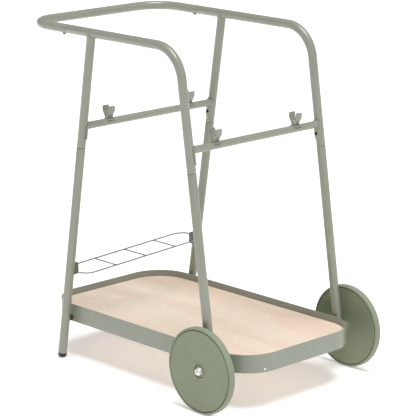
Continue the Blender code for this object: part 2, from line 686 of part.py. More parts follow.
def build_wheel(name, side):
    """Disc and tyre turn about the axle bolt, which is fixed to the leg."""
    placement = frame_at((AXLE_X, side * WHEEL_INNER_Y, AXLE_Z), (0, side, 0))
    thick, floor = WHEEL_THICKNESS, WHEEL_THICKNESS - HUB_RECESS_DEPTH
    boss = BOSS_END_Y - WHEEL_INNER_Y
    disc = [(BORE_R, floor), (HUB_RECESS_R - 0.0010, floor), (HUB_RECESS_R, thick),
            (DISC_R - RIM_CHAMFER, thick), (DISC_R, thick - RIM_CHAMFER),
            (DISC_R, RIM_CHAMFER), (DISC_R - RIM_CHAMFER, 0.0), (BOSS_R + 0.0020, 0.0),
            (BOSS_R, -0.0020), (BOSS_R, boss), (BORE_R, boss)]
    finish_part(turned("disc", disc, placement, WHEEL_STEPS, closed=True),
                "wheel_disc_" + name, WHEEL_PLASTIC)
    inner, outer = TYRE_INNER_R, WHEEL_R
    tyre = [(inner + RIM_CHAMFER, thick), (outer - 0.0040, thick),
            (outer - 0.0014, thick - 0.0011), (outer, thick - 0.0042), (outer, 0.0042),
            (outer - 0.0014, 0.0011), (outer - 0.0040, 0.0), (inner + RIM_CHAMFER, 0.0),
            (inner, RIM_CHAMFER), (inner, thick - RIM_CHAMFER)]
    finish_part(turned("tyre", tyre, placement, WHEEL_STEPS, closed=True),
                "wheel_tyre_" + name, TYRE_RUBBER)

    seat_y = WHEEL_INNER_Y + floor + 0.0004
    high = BOLT_HEAD_FACE_Y - seat_y
    bolt = [(0.0, high), (0.0042, high), (0.0049, high - 0.0010), (0.0078, high - 0.0028),
            (0.0096, high - 0.0058), (BOLT_HEAD_R, 0.0), (BOLT_R, 0.0),
            (BOLT_R, BOLT_TIP_Y - seat_y), (0.0, BOLT_TIP_Y - seat_y)]
    finish_part(turned("bolt", bolt, frame_at((AXLE_X, side * seat_y, AXLE_Z), (0, side, 0)), 16),
                "axle_bolt_" + name, ZINC)
    nut = cylinder("nut", (AXLE_X, side * NUT_Y[0], AXLE_Z), (AXLE_X, side * NUT_Y[1], AXLE_Z),
                   NUT_ACROSS_CORNERS_R, 6)
    boolean(nut, side_hole("nut_hole_" + name, Vector((AXLE_X, side, AXLE_Z)), 0.185, 0.200,
                           BORE_R, 16))
    finish_part(nut, "axle_nut_" + name, ZINC)


def main():
    build_handle()
    for name, side in SIDES:
        build_side_frame(name, side)
        build_wheel(name, side)
    for leg, (on_leg, _) in LEGS.items():
        build_crossbar(leg, on_leg)
    build_tray()
    build_wire_rack()


clear_scene()
PARTS = new_collection("Tray trolley")
CUTTERS = new_collection("Cutters", hidden=True)
main()
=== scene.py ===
"""Push trolley with a rimmed wooden tray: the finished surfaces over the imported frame.

Every visible piece is modelled again at its final smoothness, in metres and in the
frame's own axes: +X from the handle to the wheels, +Y to the pusher's left, +Z up.
"""

import logging
import math
from dataclasses import dataclass, field
from enum import Enum
from typing import Any, Callable, Iterable, Sequence

import bpy
from mathutils import Matrix, Vector


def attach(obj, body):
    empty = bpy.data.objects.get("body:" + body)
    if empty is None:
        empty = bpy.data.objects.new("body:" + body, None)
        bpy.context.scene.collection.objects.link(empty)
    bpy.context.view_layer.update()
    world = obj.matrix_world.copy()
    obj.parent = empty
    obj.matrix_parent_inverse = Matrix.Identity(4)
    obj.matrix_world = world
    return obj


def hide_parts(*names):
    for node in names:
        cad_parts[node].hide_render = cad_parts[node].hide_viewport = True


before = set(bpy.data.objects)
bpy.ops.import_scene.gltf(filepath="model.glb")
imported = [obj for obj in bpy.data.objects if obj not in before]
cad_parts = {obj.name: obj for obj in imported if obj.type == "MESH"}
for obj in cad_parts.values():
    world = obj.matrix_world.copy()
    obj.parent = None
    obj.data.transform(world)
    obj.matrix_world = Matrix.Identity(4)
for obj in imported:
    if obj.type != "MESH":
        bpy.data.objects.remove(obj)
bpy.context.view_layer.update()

LOG = logging.getLogger("trolley")
Colour = tuple[float, float, float]
SIDES: tuple[tuple[str, int], ...] = (("left", 1), ("right", -1))
X_AXIS, Y_AXIS, Z_AXIS = Vector((1, 0, 0)), Vector((0, 1, 0)), Vector((0, 0, 1))
WHITE = (1.0, 1.0, 1.0, 1.0)
HAIR = 0.0001  # parts two surfaces that would touch, in metres
WELD_RIPPLES = 30


# ------------------------------------------------------------------ shader maths
class Value:
    """A shader socket that can stand in ordinary arithmetic."""

    def __init__(self, sheet: "Sheet", socket: bpy.types.NodeSocket) -> None:
        """Wraps a socket of the given sheet."""
        self.sheet = sheet
        self.socket = socket

    def _math(self, operation: str, first: Any, second: Any) -> "Value":
        """Adds a Math node.

        Args:
            operation: the node's operation, such as "MULTIPLY".
            first: its first value or link.
            second: its second value or link.

        Returns:
            The node's result.
        """
        return self.sheet.node("ShaderNodeMath", {"operation": operation}, {0: first, 1: second})

    def __add__(self, other: Any) -> "Value":
        """self + other."""
        return self._math("ADD", self, other)

    __radd__ = __add__

    def __mul__(self, other: Any) -> "Value":
        """self * other."""
        return self._math("MULTIPLY", self, other)

    __rmul__ = __mul__

    def ramp(self, low: float, high: float, start: float = 0.0, end: float = 1.0) -> "Value":
        """Maps low..high to start..end and clamps it.

        Args:
            low: the value that gives start.
            high: the value that gives end.
            start: the result at low.
            end: the result at high.

        Returns:
            The mapped value.
        """
        return self.sheet.node("ShaderNodeMapRange", {"clamp": True},
                               {0: self, 1: low, 2: high, 3: start, 4: end})


class Sheet:
    """The node tree of a material or of the world, and the only place that adds nodes to it."""

    def __init__(self, owner: bpy.types.Material | bpy.types.World) -> None:
        """Starts with the owner's node tree emptied.

        Args:
            owner: the material or the world.
        """
        self.owner = owner
        self.owner.use_nodes = True
        self.tree = self.owner.node_tree
        self.tree.nodes.clear()

    def node(self, kind: str, settings: dict[str, Any] | None = None,
             inputs: dict[Any, Any] | None = None, output: Any = 0) -> Value:
        """Adds one node, sets it up and links it.

        Args:
            kind: the node's type.
            settings: its properties, which are set first.
            inputs: socket name or number to a constant or a Value.
            output: the name or number of the socket to return.

        Returns:
            The chosen output, or the first input of a node without outputs.
        """
        made = self.tree.nodes.new(kind)
        for key, value in (settings or {}).items():
            setattr(made, key, value)
        for key, value in (inputs or {}).items():
            if isinstance(value, Value):
                self.tree.links.new(value.socket, made.inputs[key])
            else:
                made.inputs[key].default_value = value
        return Value(self, made.outputs[output]) if made.outputs else Value(self, made.inputs[0])

    def place(self, scale: Sequence[float] = (1, 1, 1),
              shift: Sequence[float] = (0, 0, 0)) -> Value:
        """Object coordinates, scaled and moved.

        Args:
            scale: how many times finer the pattern is along each axis.
            shift: what is added after scaling.

        Returns:
            The coordinate vector.
        """
        where = self.node("ShaderNodeTexCoord", output="Object")
        return self.node("ShaderNodeMapping", {"vector_type": "POINT"},
                         {"Vector": where, "Location": shift, "Scale": scale})

    def noise(self, where: Value, scale: float, detail: float = 3.0, rough: float = 0.5,
              warp: float = 0.0) -> Value:
        """Fractal noise from 0 to 1.

        Args:
            where: the coordinates it reads.
            scale: how fine it is.
            detail: how many finer layers it has.
            rough: how strong the finer layers are.
            warp: how much it is distorted.

        Returns:
            The noise.
        """
        return self.node("ShaderNodeTexNoise", {"noise_dimensions": "3D"},
                         {"Vector": where, "Scale": scale, "Detail": detail,
                          "Roughness": rough, "Distortion": warp})

    def mix(self, share: Any, first: Any, second: Any) -> Value:
        """Mixes two colours.

        Args:
            share: how much of the second, 0 to 1.
            first: a colour or a link.
            second: a colour or a link.

        Returns:
            The mixed colour.
        """
        first = first if isinstance(first, Value) else (*first, 1.0)
        second = second if isinstance(second, Value) else (*second, 1.0)
        return self.node("ShaderNodeMix", {"data_type": "RGBA"},
                         {0: share, 6: first, 7: second}, output=2)

    def bump(self, height: Value, strength: float, depth: float) -> Value:
        """A bumped normal.

        Args:
            height: the pattern that gives the height.
            strength: how much of the bump shows, 0 to 1.
            depth: the height's full travel in metres.

        Returns:
            The normal.
        """
        return self.node("ShaderNodeBump", {}, {"Strength": strength, "Distance": depth,
                                                "Height": height})

    def finish(self, base: Any, roughness: Any, normal: Value | None = None,
               **constants: Any) -> bpy.types.Material:
        """Closes the sheet with a Principled shader.

        Args:
            base: base colour.
            roughness: roughness.
            normal: a bumped normal, if any.
            **constants: further sockets, with spaces written as underscores.

        Returns:
            The finished material.
        """
        base = base if isinstance(base, Value) else (*base, 1.0)
        inputs: dict[str, Any] = {"Base Color": base, "Roughness": roughness}
        if normal is not None:
            inputs["Normal"] = normal
        inputs.update({key.replace("_", " "): value for key, value in constants.items()})
        shader = self.node("ShaderNodeBsdfPrincipled", {}, inputs)
        self.node("ShaderNodeOutputMaterial", {}, {"Surface": shader})
        return self.owner


# ---------------------------------------------------------------------- finishes
class Finish:
    """A finish that builds its material once and hands it out."""

    name: str
    slot: str
    _made: dict[str, bpy.types.Material] = {}

    def material(self) -> bpy.types.Material:
        """The finish's material, built on first use."""
        if self.name not in Finish._made:
            Finish._made[self.name] = self.build(Sheet(bpy.data.materials.new(self.name)))
        return Finish._made[self.name]

    def build(self, sheet: Sheet) -> bpy.types.Material:
        """Fills the sheet; each kind of finish has its own way."""
        raise NotImplementedError


@dataclass(frozen=True)
class PowderCoat(Finish):
    """Satin powder coat: an even colour with a fine orange peel."""

    name: str
    slot: str
    colour: Colour
    sheen_colour: Colour
    roughness: float = 0.29
    peel: float = 0.00006

    def build(self, sheet: Sheet) -> bpy.types.Material:
        """Cloudy colour, fine speckle and orange peel.

        Args:
            sheet: an empty sheet.

        Returns:
            The finished material.
        """
        where = sheet.place()
        cloud = sheet.noise(where, 7.0, 4.0, 0.55)
        speckle = sheet.noise(where, 1400.0, 2.0, 0.6)
        peel = sheet.noise(where, 620.0, 2.0, 0.5)
        tone = (cloud.ramp(0.3, 0.7) * 0.72 + speckle.ramp(0.35, 0.65) * 0.28)
        base = sheet.mix(tone, self.colour, self.sheen_colour)
        rough = (cloud.ramp(0.25, 0.75, -0.03, 0.04) + peel.ramp(0.3, 0.7, -0.02, 0.03)
                 + self.roughness)
        normal = sheet.bump(peel * 0.8 + speckle * 0.2, 0.30, self.peel)
        return sheet.finish(base, rough, normal, IOR=1.54, Coat_Weight=0.15,
                            Coat_Roughness=0.16)


@dataclass(frozen=True)
class Veneer(Finish):
    """Pale lacquered birch veneer with its grain along X."""

    name: str = "birch_veneer"
    slot: str = "plywood"
    light: Colour = (0.835, 0.715, 0.600)
    warm: Colour = (0.770, 0.605, 0.475)
    dark: Colour = (0.590, 0.430, 0.320)

    def build(self, sheet: Sheet) -> bpy.types.Material:
        """Broad figure, growth streaks, fibres and short pores.

        Args:
            sheet: an empty sheet.

        Returns:
            The finished material.
        """
        figure = sheet.noise(sheet.place((1.1, 4.2, 4.2)), 2.3, 3.0, 0.5, 0.35)
        streak = sheet.noise(sheet.place((2.6, 46.0, 46.0)), 2.0, 5.0, 0.62, 0.6)
        fibre = sheet.noise(sheet.place((16.0, 620.0, 620.0)), 2.0, 4.0, 0.6)
        pore = sheet.noise(sheet.place((55.0, 1300.0, 1300.0), (3.1, 0.7, 0.0)), 1.0, 1.0, 0.4)
        fleck = sheet.noise(sheet.place((90.0, 190.0, 190.0), (0.3, 9.0, 0.0)), 1.0, 2.0, 0.5)
        base = sheet.mix(figure.ramp(0.32, 0.68), self.light, self.warm)
        base = sheet.mix(streak.ramp(0.52, 0.78, 0.0, 0.34), base, self.dark)
        base = sheet.mix(streak.ramp(0.46, 0.26, 0.0, 0.30), base, (0.880, 0.780, 0.680))
        base = sheet.mix(fibre.ramp(0.40, 0.75, 0.0, 0.22), base, self.dark)
        base = sheet.mix(fleck.ramp(0.60, 0.74, 0.0, 0.18), base, (0.900, 0.800, 0.690))
        base = sheet.mix(pore.ramp(0.66, 0.76, 0.0, 0.42), base, (0.420, 0.290, 0.200))
        rough = fibre.ramp(0.3, 0.7, -0.04, 0.05) + figure.ramp(0.3, 0.7, 0.0, 0.05) + 0.50
        height = fibre * 0.6 + pore.ramp(0.66, 0.76, 0.0, -0.6) + streak * 0.4
        return sheet.finish(base, rough, sheet.bump(height, 0.35, 0.00012), IOR=1.48)


@dataclass(frozen=True)
class Moulded(Finish):
    """Matt moulded plastic or rubber with a fine spark-eroded texture."""

    name: str
    slot: str
    colour: Colour
    light: Colour
    roughness: float = 0.5
    texture: float = 0.00008
    grain: float = 900.0

    def build(self, sheet: Sheet) -> bpy.types.Material:
        """Soft flow marks, fine pits and slight colour drift.

        Args:
            sheet: an empty sheet.

        Returns:
            The finished material.
        """
        flow = sheet.noise(sheet.place((9.0, 30.0, 9.0)), 1.0, 4.0, 0.55, 0.8)
        pits = sheet.noise(sheet.place(), self.grain, 3.0, 0.6)
        scuff = sheet.noise(sheet.place((60.0, 60.0, 60.0)), 1.0, 6.0, 0.7)
        base = sheet.mix(flow.ramp(0.3, 0.7), self.colour, self.light)
        base = sheet.mix(pits.ramp(0.55, 0.75, 0.0, 0.12), base, self.light)
        rough = (flow.ramp(0.3, 0.7, -0.03, 0.04) + scuff.ramp(0.5, 0.75, 0.0, 0.05)
                 + self.roughness)
        return sheet.finish(base, rough, sheet.bump(pits, 0.35, self.texture), IOR=1.46)


@dataclass(frozen=True)
class Plated(Finish):
    """Plated or blackened steel with a faint tumbled grain."""

    name: str
    slot: str
    colour: Colour
    tint: Colour
    roughness: float = 0.28

    def build(self, sheet: Sheet) -> bpy.types.Material:
        """Tumbled scratches and a faint colour bloom.

        Args:
            sheet: an empty sheet.

        Returns:
            The finished material.
        """
        bloom = sheet.noise(sheet.place(), 160.0, 3.0, 0.5)
        grain = sheet.noise(sheet.place((1.0, 1.0, 5.0)), 1500.0, 3.0, 0.65)
        base = sheet.mix(bloom.ramp(0.35, 0.7), self.colour, self.tint)
        rough = grain.ramp(0.3, 0.7, -0.05, 0.08) + self.roughness
        return sheet.finish(base, rough, sheet.bump(grain, 0.20, 0.00003), Metallic=1.0)


PAINT = PowderCoat("frame_powder_coat", "frame_paint", (0.262, 0.276, 0.216),
                   (0.292, 0.304, 0.246))
RIM = PowderCoat("rim_powder_coat", "rim_paint", (0.254, 0.269, 0.214), (0.280, 0.294, 0.240))
WIRE = PowderCoat("wire_powder_coat", "wire_paint", (0.215, 0.222, 0.176), (0.250, 0.256, 0.208))
BRACKET = PowderCoat("bracket_powder_coat", "wire_paint", (0.118, 0.118, 0.088),
                     (0.140, 0.140, 0.108), 0.46)
VENEER = Veneer()
DISC = Moulded("wheel_plastic", "wheel_plastic", (0.214, 0.250, 0.160), (0.246, 0.280, 0.188))
TYRE = Moulded("tyre_rubber", "tyre", (0.232, 0.266, 0.185), (0.260, 0.294, 0.211), 0.58,
               0.00006, 1300.0)
BLACK = Moulded("cap_plastic", "foot_plastic", (0.012, 0.012, 0.011), (0.022, 0.022, 0.020), 0.42)
ZINC = Plated("bright_zinc", "zinc", (0.830, 0.840, 0.850), (0.850, 0.840, 0.800), 0.52)
OXIDE = Plated("black_oxide", "dark_steel", (0.030, 0.028, 0.024), (0.055, 0.050, 0.042), 0.50)
# Dark bare steel for the joining sleeves and the tray spacers; on the spacers its dark tone is
# partly painted shade, standing in for the shadow between the rim and the leg.
BARE_STEEL_AND_SHADE = Plated("phosphated_steel_and_shade", "bare_steel", (0.105, 0.102, 0.094), (0.145, 0.140, 0.128), 0.45)


# --------------------------------------------------------------------- workbench
class Bench:
    """Modelling steps shared by every sub-assembly."""

    @staticmethod
    def clear() -> None:
        """Leaves edit mode and deselects everything."""
        if bpy.context.object and bpy.context.object.mode != "OBJECT":
            bpy.ops.object.mode_set(mode="OBJECT")
        bpy.ops.object.select_all(action="DESELECT")

    def settle(self, piece: bpy.types.Object) -> None:
        """Applies a piece's place, turn and size to its mesh, and leaves it selected.

        Args:
            piece: the object.
        """
        self.clear()
        piece.select_set(True)
        bpy.context.view_layer.objects.active = piece
        bpy.ops.object.transform_apply(location=True, rotation=True, scale=True)

    @staticmethod
    def edit() -> None:
        """Enters edit mode with every vertex selected."""
        bpy.ops.object.mode_set(mode="EDIT")
        bpy.ops.mesh.select_mode(type="VERT")
        bpy.ops.mesh.select_all(action="SELECT")

    @staticmethod
    def close(merge: float = 1e-6) -> bpy.types.Object:
        """Merges doubles, turns the faces outwards and leaves edit mode.

        Args:
            merge: the merge distance in metres.

        Returns:
            The edited object.
        """
        bpy.ops.mesh.select_all(action="SELECT")
        bpy.ops.mesh.remove_doubles(threshold=merge)
        bpy.ops.mesh.normals_make_consistent(inside=False)
        bpy.ops.object.mode_set(mode="OBJECT")
        return bpy.context.object

    @staticmethod
    def pull(offset: Vector) -> None:
        """Extrudes the selection by an offset."""
        bpy.ops.mesh.extrude_region_move(TRANSFORM_OT_translate={"value": tuple(offset)})

    @staticmethod
    def bend(centre: Vector, axis: Vector, angle: float, steps: int) -> None:
        """Spins the selected ring about an axis, by the right-hand rule.

        Args:
            centre: a point on the axis.
            axis: the axis.
            angle: the turn in radians.
            steps: how many rings the bend gets.
        """
        bpy.ops.mesh.spin(steps=steps, angle=angle, center=tuple(centre), axis=tuple(-axis))

    def ring(self, centre: Vector, axis: Vector, radius: float, sides: int = 40,
             fill: str = "NOTHING") -> None:
        """Adds an open or filled ring and enters edit mode.

        Args:
            centre: its centre.
            axis: its normal.
            radius: its radius.
            sides: how many sides it has.
            fill: NOTHING, NGON or TRIFAN.
        """
        self.clear()
        bpy.ops.mesh.primitive_circle_add(
            vertices=sides, radius=radius, fill_type=fill, location=tuple(centre),
            rotation=Vector(axis).to_track_quat("Z", "Y").to_euler())
        self.edit()

    def lathe(self, centre: Vector, axis: Vector, profile: Sequence[tuple[float, float]],
              sides: int = 32, cap_first: bool = True, cap_last: bool = True) -> bpy.types.Object:
        """Builds a turned piece ring by ring, each pulled from the last and resized.

        Args:
            centre: the point on the axis at height 0.
            axis: the direction of rising height.
            profile: (radius, height) pairs.
            sides: how many sides it has.
            cap_first: fills the first ring.
            cap_last: closes the last ring to a point at its centre.

        Returns:
            The piece.
        """
        centre, axis = Vector(centre), Vector(axis).normalized()
        radius, height = profile[0]
        self.ring(centre + axis * height, axis, radius, sides,
                  "TRIFAN" if cap_first else "NOTHING")
        if cap_first:
            bpy.ops.mesh.select_mode(type="EDGE")
            bpy.ops.mesh.select_all(action="SELECT")
            bpy.ops.mesh.region_to_loop()
        for new_radius, new_height in profile[1:]:
            self.pull(axis * (new_height - height))
            size = new_radius / radius
            bpy.ops.transform.resize(value=(size, size, size),
                                     center_override=tuple(centre + axis * new_height))
            radius, height = new_radius, new_height
        if cap_last:
            self.pull(Vector((0, 0, 0)))
            bpy.ops.mesh.merge(type="CENTER")
        return self.close()

    def tube(self, start: Vector, steps: Iterable[Callable[[], None]], direction: Vector,
             radius: float, wall: float, sides: int = 40) -> bpy.types.Object:
        """Builds a tube from a ring and a list of pulls and bends, with a real wall.

        Args:
            start: the centre of its first ring.
            steps: the pulls and bends, in order.
            direction: the first ring's normal.
            radius: outer radius.
            wall: wall thickness.
            sides: how many sides it has.

        Returns:
            The tube, with its ends still sharp.
        """
        self.ring(start, direction, radius, sides)
        for step in steps:
            step()
        piece = self.close()
        self.apply(piece, "SOLIDIFY", thickness=wall, offset=-1.0, use_even_offset=True)
        return piece

    def straight(self, start: Vector, end: Vector, radius: float, wall: float,
                 sides: int = 40) -> bpy.types.Object:
        """A straight tube between two points.

        Args:
            start: the centre of one end.
            end: the centre of the other end.
            radius: outer radius.
            wall: wall thickness.
            sides: how many sides it has.

        Returns:
            The tube.
        """
        span = Vector(end) - Vector(start)
        return self.tube(start, [lambda: self.pull(span)], span, radius, wall, sides)

    def rod(self, start: Vector, end: Vector, radius: float, sides: int = 32) -> bpy.types.Object:
        """A plain closed rod, used to cut with.

        Args:
            start: the centre of one end.
            end: the centre of the other end.
            radius: its radius.
            sides: how many sides it has.

        Returns:
            The rod.
        """
        start, end = Vector(start), Vector(end)
        span = end - start
        return self.lathe(start, span, [(radius, 0.0), (radius, span.length)], sides)

    def slab(self, placement: Matrix, size: Sequence[float], corner: float = 0.0,
             segments: int = 6) -> bpy.types.Object:
        """A block whose four edges along local Z are rounded.

        Args:
            placement: its centre and turn.
            size: its three sides.
            corner: the radius of the rounded edges.
            segments: how many steps each rounding has.

        Returns:
            The block.
        """
        self.clear()
        bpy.ops.mesh.primitive_cube_add(size=1.0)
        piece = bpy.context.object
        piece.scale = size
        bpy.ops.object.transform_apply(location=False, rotation=False, scale=True)
        if corner:
            self.select_edges(piece, lambda a, b: abs(a.z - b.z) > size[2] * 0.9)
            bpy.ops.mesh.bevel(offset=corner, segments=segments, affect="EDGES")
            self.close()
        piece.matrix_world = placement
        self.settle(piece)
        return piece

    @staticmethod
    def select_none(piece: bpy.types.Object, mode: str) -> None:
        """Deselects a piece's whole mesh and leaves edit mode, ready to select by place.

        Args:
            piece: the object to edit.
            mode: VERT or EDGE.
        """
        bpy.context.view_layer.objects.active = piece
        bpy.ops.object.mode_set(mode="EDIT")
        bpy.ops.mesh.select_mode(type=mode)
        bpy.ops.mesh.select_all(action="DESELECT")
        bpy.ops.object.mode_set(mode="OBJECT")

    def select_corners(self, piece: bpy.types.Object, wanted: Callable[[Vector], bool]) -> None:
        """Enters edit mode with the corners chosen by their places selected.

        Args:
            piece: the object to edit.
            wanted: takes a corner's place and says whether it is wanted.
        """
        self.select_none(piece, "VERT")
        for vertex in piece.data.vertices:
            vertex.select = wanted(piece.matrix_world @ vertex.co)
        bpy.ops.object.mode_set(mode="EDIT")

    def select_edges(self, piece: bpy.types.Object,
                     wanted: Callable[[Vector, Vector], bool]) -> None:
        """Enters edit mode with the edges chosen by their two ends' places selected.

        Args:
            piece: the object to edit.
            wanted: takes both ends and says whether the edge is wanted.
        """
        self.select_none(piece, "EDGE")
        corners = piece.data.vertices
        for edge in piece.data.edges:
            ends = [piece.matrix_world @ corners[index].co for index in edge.vertices]
            edge.select = wanted(*ends)
        bpy.ops.object.mode_set(mode="EDIT")

    def strip(self, path: Sequence[Vector], width: float, thickness: float,
              end_corner: float) -> bpy.types.Object:
        """A bent metal strip whose width runs along Y.

        Args:
            path: the points that its middle line follows.
            width: its width.
            thickness: its thickness.
            end_corner: the radius of its end corners.

        Returns:
            The strip.
        """
        self.clear()
        bpy.ops.mesh.primitive_plane_add(size=width, location=tuple(path[0]))
        piece = bpy.context.object
        self.select_corners(piece, lambda spot: spot.x > path[0].x)
        bpy.ops.mesh.delete(type="VERT")
        bpy.ops.mesh.select_all(action="SELECT")
        bpy.ops.transform.translate(value=(width / 2, 0, 0))
        for before, after in zip(path, path[1:]):
            self.pull(after - before)
        bpy.ops.mesh.select_all(action="SELECT")
        bpy.ops.mesh.normals_make_consistent(inside=False)
        ends, reach = (path[0], path[-1]), width * 0.505
        self.select_corners(piece, lambda spot: min((spot - end).length for end in ends) < reach)
        bpy.ops.mesh.bevel(offset=end_corner, segments=5, affect="VERTICES")
        bpy.ops.object.mode_set(mode="OBJECT")
        self.apply(piece, "SOLIDIFY", thickness=thickness, offset=0.0, use_even_offset=True)
        return piece

    def bead(self, points: Sequence[Vector], radius: float, ripples: int) -> bpy.types.Object:
        """A closed weld bead with even ripples.

        Args:
            points: the points the bead follows.
            radius: its radius.
            ripples: how many ripples it has all round.

        Returns:
            The bead as a mesh.
        """
        self.clear()
        bpy.ops.curve.primitive_nurbs_circle_add(radius=radius)
        loop = bpy.context.object
        loop.location = (0, 0, 0)
        loop.data.splines.clear()
        spline = loop.data.splines.new("POLY")
        spline.points.add(len(points) - 1)
        for number, (point, spot) in enumerate(zip(spline.points, points)):
            point.co = (*spot, 1.0)
            point.radius = 1.0 + 0.14 * math.sin(math.tau * ripples * number / len(points))
        spline.use_cyclic_u = True
        loop.data.bevel_depth = radius
        loop.data.bevel_resolution = 2
        bpy.ops.object.convert(target="MESH")
        piece = bpy.context.object
        self.edit()
        self.close()
        return piece

    @staticmethod
    def apply(piece: bpy.types.Object, kind: str, **settings: Any) -> None:
        """Adds a modifier, sets it up and applies it.

        Args:
            piece: the object.
            kind: the modifier's type.
            **settings: its properties.
        """
        bpy.context.view_layer.objects.active = piece
        modifier = piece.modifiers.new(kind.title(), kind)
        for key, value in settings.items():
            setattr(modifier, key, value)
        bpy.ops.object.modifier_apply(modifier=modifier.name)

    def cut(self, piece: bpy.types.Object, tool: bpy.types.Object,
            operation: str = "DIFFERENCE") -> None:
        """Cuts, joins or intersects a piece with a tool, and removes the tool.

        Args:
            piece: the object that stays.
            tool: the object it meets.
            operation: DIFFERENCE, UNION or INTERSECT.
        """
        self.clear()
        self.apply(piece, "BOOLEAN", object=tool, operation=operation, solver="EXACT")
        bpy.data.objects.remove(tool, do_unlink=True)

    def ease(self, piece: bpy.types.Object, width: float, segments: int = 2) -> None:
        """Rounds a piece's sharp edges.

        Args:
            piece: the object.
            width: the width of the rounding.
            segments: how many steps the rounding has.
        """
        self.apply(piece, "BEVEL", width=width, segments=segments, limit_method="ANGLE",
                   angle_limit=math.radians(35.0), use_clamp_overlap=True)

    def done(self, piece: bpy.types.Object, name: str, finish: Finish, body: str = "frame",
             own_node: bool = True, smooth: float = 40.0) -> None:
        """Names, places, shades and dresses a piece, and hangs it on its body.

        Args:
            piece: the object.
            name: its name.
            finish: its finish.
            body: the body it moves with.
            own_node: whether it stands for the frame's node of the same name.
            smooth: edges flatter than this many degrees are shaded smooth.
        """
        replaced = (name,) if own_node else ()
        self.settle(piece)
        bpy.ops.object.shade_smooth_by_angle(angle=math.radians(smooth))
        piece.name = name
        piece.data.name = name
        piece.data.materials.clear()
        piece.data.materials.append(finish.material())
        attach(piece, body)
        if replaced:
            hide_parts(*replaced)
        LOG.info("%-26s %6d faces", name, len(piece.data.polygons))


BENCH = Bench()


class Drive(Enum):
    """The recess in a screw's head."""

    HEX = "hex socket"
    CROSS = "cross recess"
    PLAIN = "no recess"


@dataclass
class Screw:
    """A domed screw, bolt or rivet; head and shank each hold a radius and a length."""

    name: str
    seat: Vector
    outward: Vector
    head: tuple[float, float]
    shank: tuple[float, float]
    finish: Finish
    drive: Drive = Drive.HEX
    recess: float = 0.45
    slot: tuple[float, float] = (1.15, 0.24)

    def build(self) -> None:
        """Turns the head and shank and cuts the recess."""
        (head, high), (shank, length) = self.head, self.shank
        dome = [(head * math.cos(turn), high * (0.28 + 0.72 * math.sin(turn)))
                for turn in (math.radians(angle) for angle in (0, 18, 36, 52, 66, 78))]
        profile = [(shank * 0.7, -length), (shank, -length + shank * 0.4), (shank, -HAIR),
                   (head * 0.96, 0.0), (head, high * 0.06), *dome]
        piece = BENCH.lathe(self.seat, self.outward, profile, 36)
        top = Vector(self.seat) + Vector(self.outward) * (high + 0.001)
        floor = Vector(self.seat) + Vector(self.outward) * (high * 0.35)
        if self.drive is Drive.HEX:
            BENCH.cut(piece, BENCH.rod(floor, top, head * self.recess, 6))
        elif self.drive is Drive.CROSS:
            turn = Vector(self.outward).to_track_quat("Z", "Y").to_matrix().to_4x4()
            centre = Matrix.Translation((floor + top) / 2) @ turn
            long, narrow = (head * share for share in self.slot)
            for size in ((long, narrow), (narrow, long)):
                BENCH.cut(piece, BENCH.slab(centre, (*size, (top - floor).length)))
        BENCH.done(piece, self.name, self.finish, smooth=32.0)


def meeting_curve(centre: Vector, axis: Vector, radius: float, other: Vector,
                  other_axis: Vector, other_radius: float, count: int = 96) -> list[Vector]:
    """The line where a thin cylinder's side meets a second cylinder.

    Args:
        centre: a point on the thin cylinder's axis.
        axis: its direction, away from the second cylinder.
        radius: its radius.
        other: a point on the second axis.
        other_axis: the second axis.
        other_radius: the second radius.
        count: how many points to return.

    Returns:
        The points, all round the thin cylinder.
    """
    axis, other_axis = axis.normalized(), other_axis.normalized()
    across = axis.orthogonal().normalized()
    along = axis.cross(across)
    points = []
    for number in range(count):
        turn = math.tau * number / count
        spot = centre + (across * math.cos(turn) + along * math.sin(turn)) * radius
        flat = (spot - other) - other_axis * (spot - other).dot(other_axis)
        run = axis - other_axis * axis.dot(other_axis)
        a, b = run.dot(run), 2 * flat.dot(run)
        c = flat.dot(flat) - other_radius ** 2
        root = math.sqrt(max(b * b - 4 * a * c, 0.0))
        points.append(spot + axis * ((-b + root) / (2 * a)))
    return points


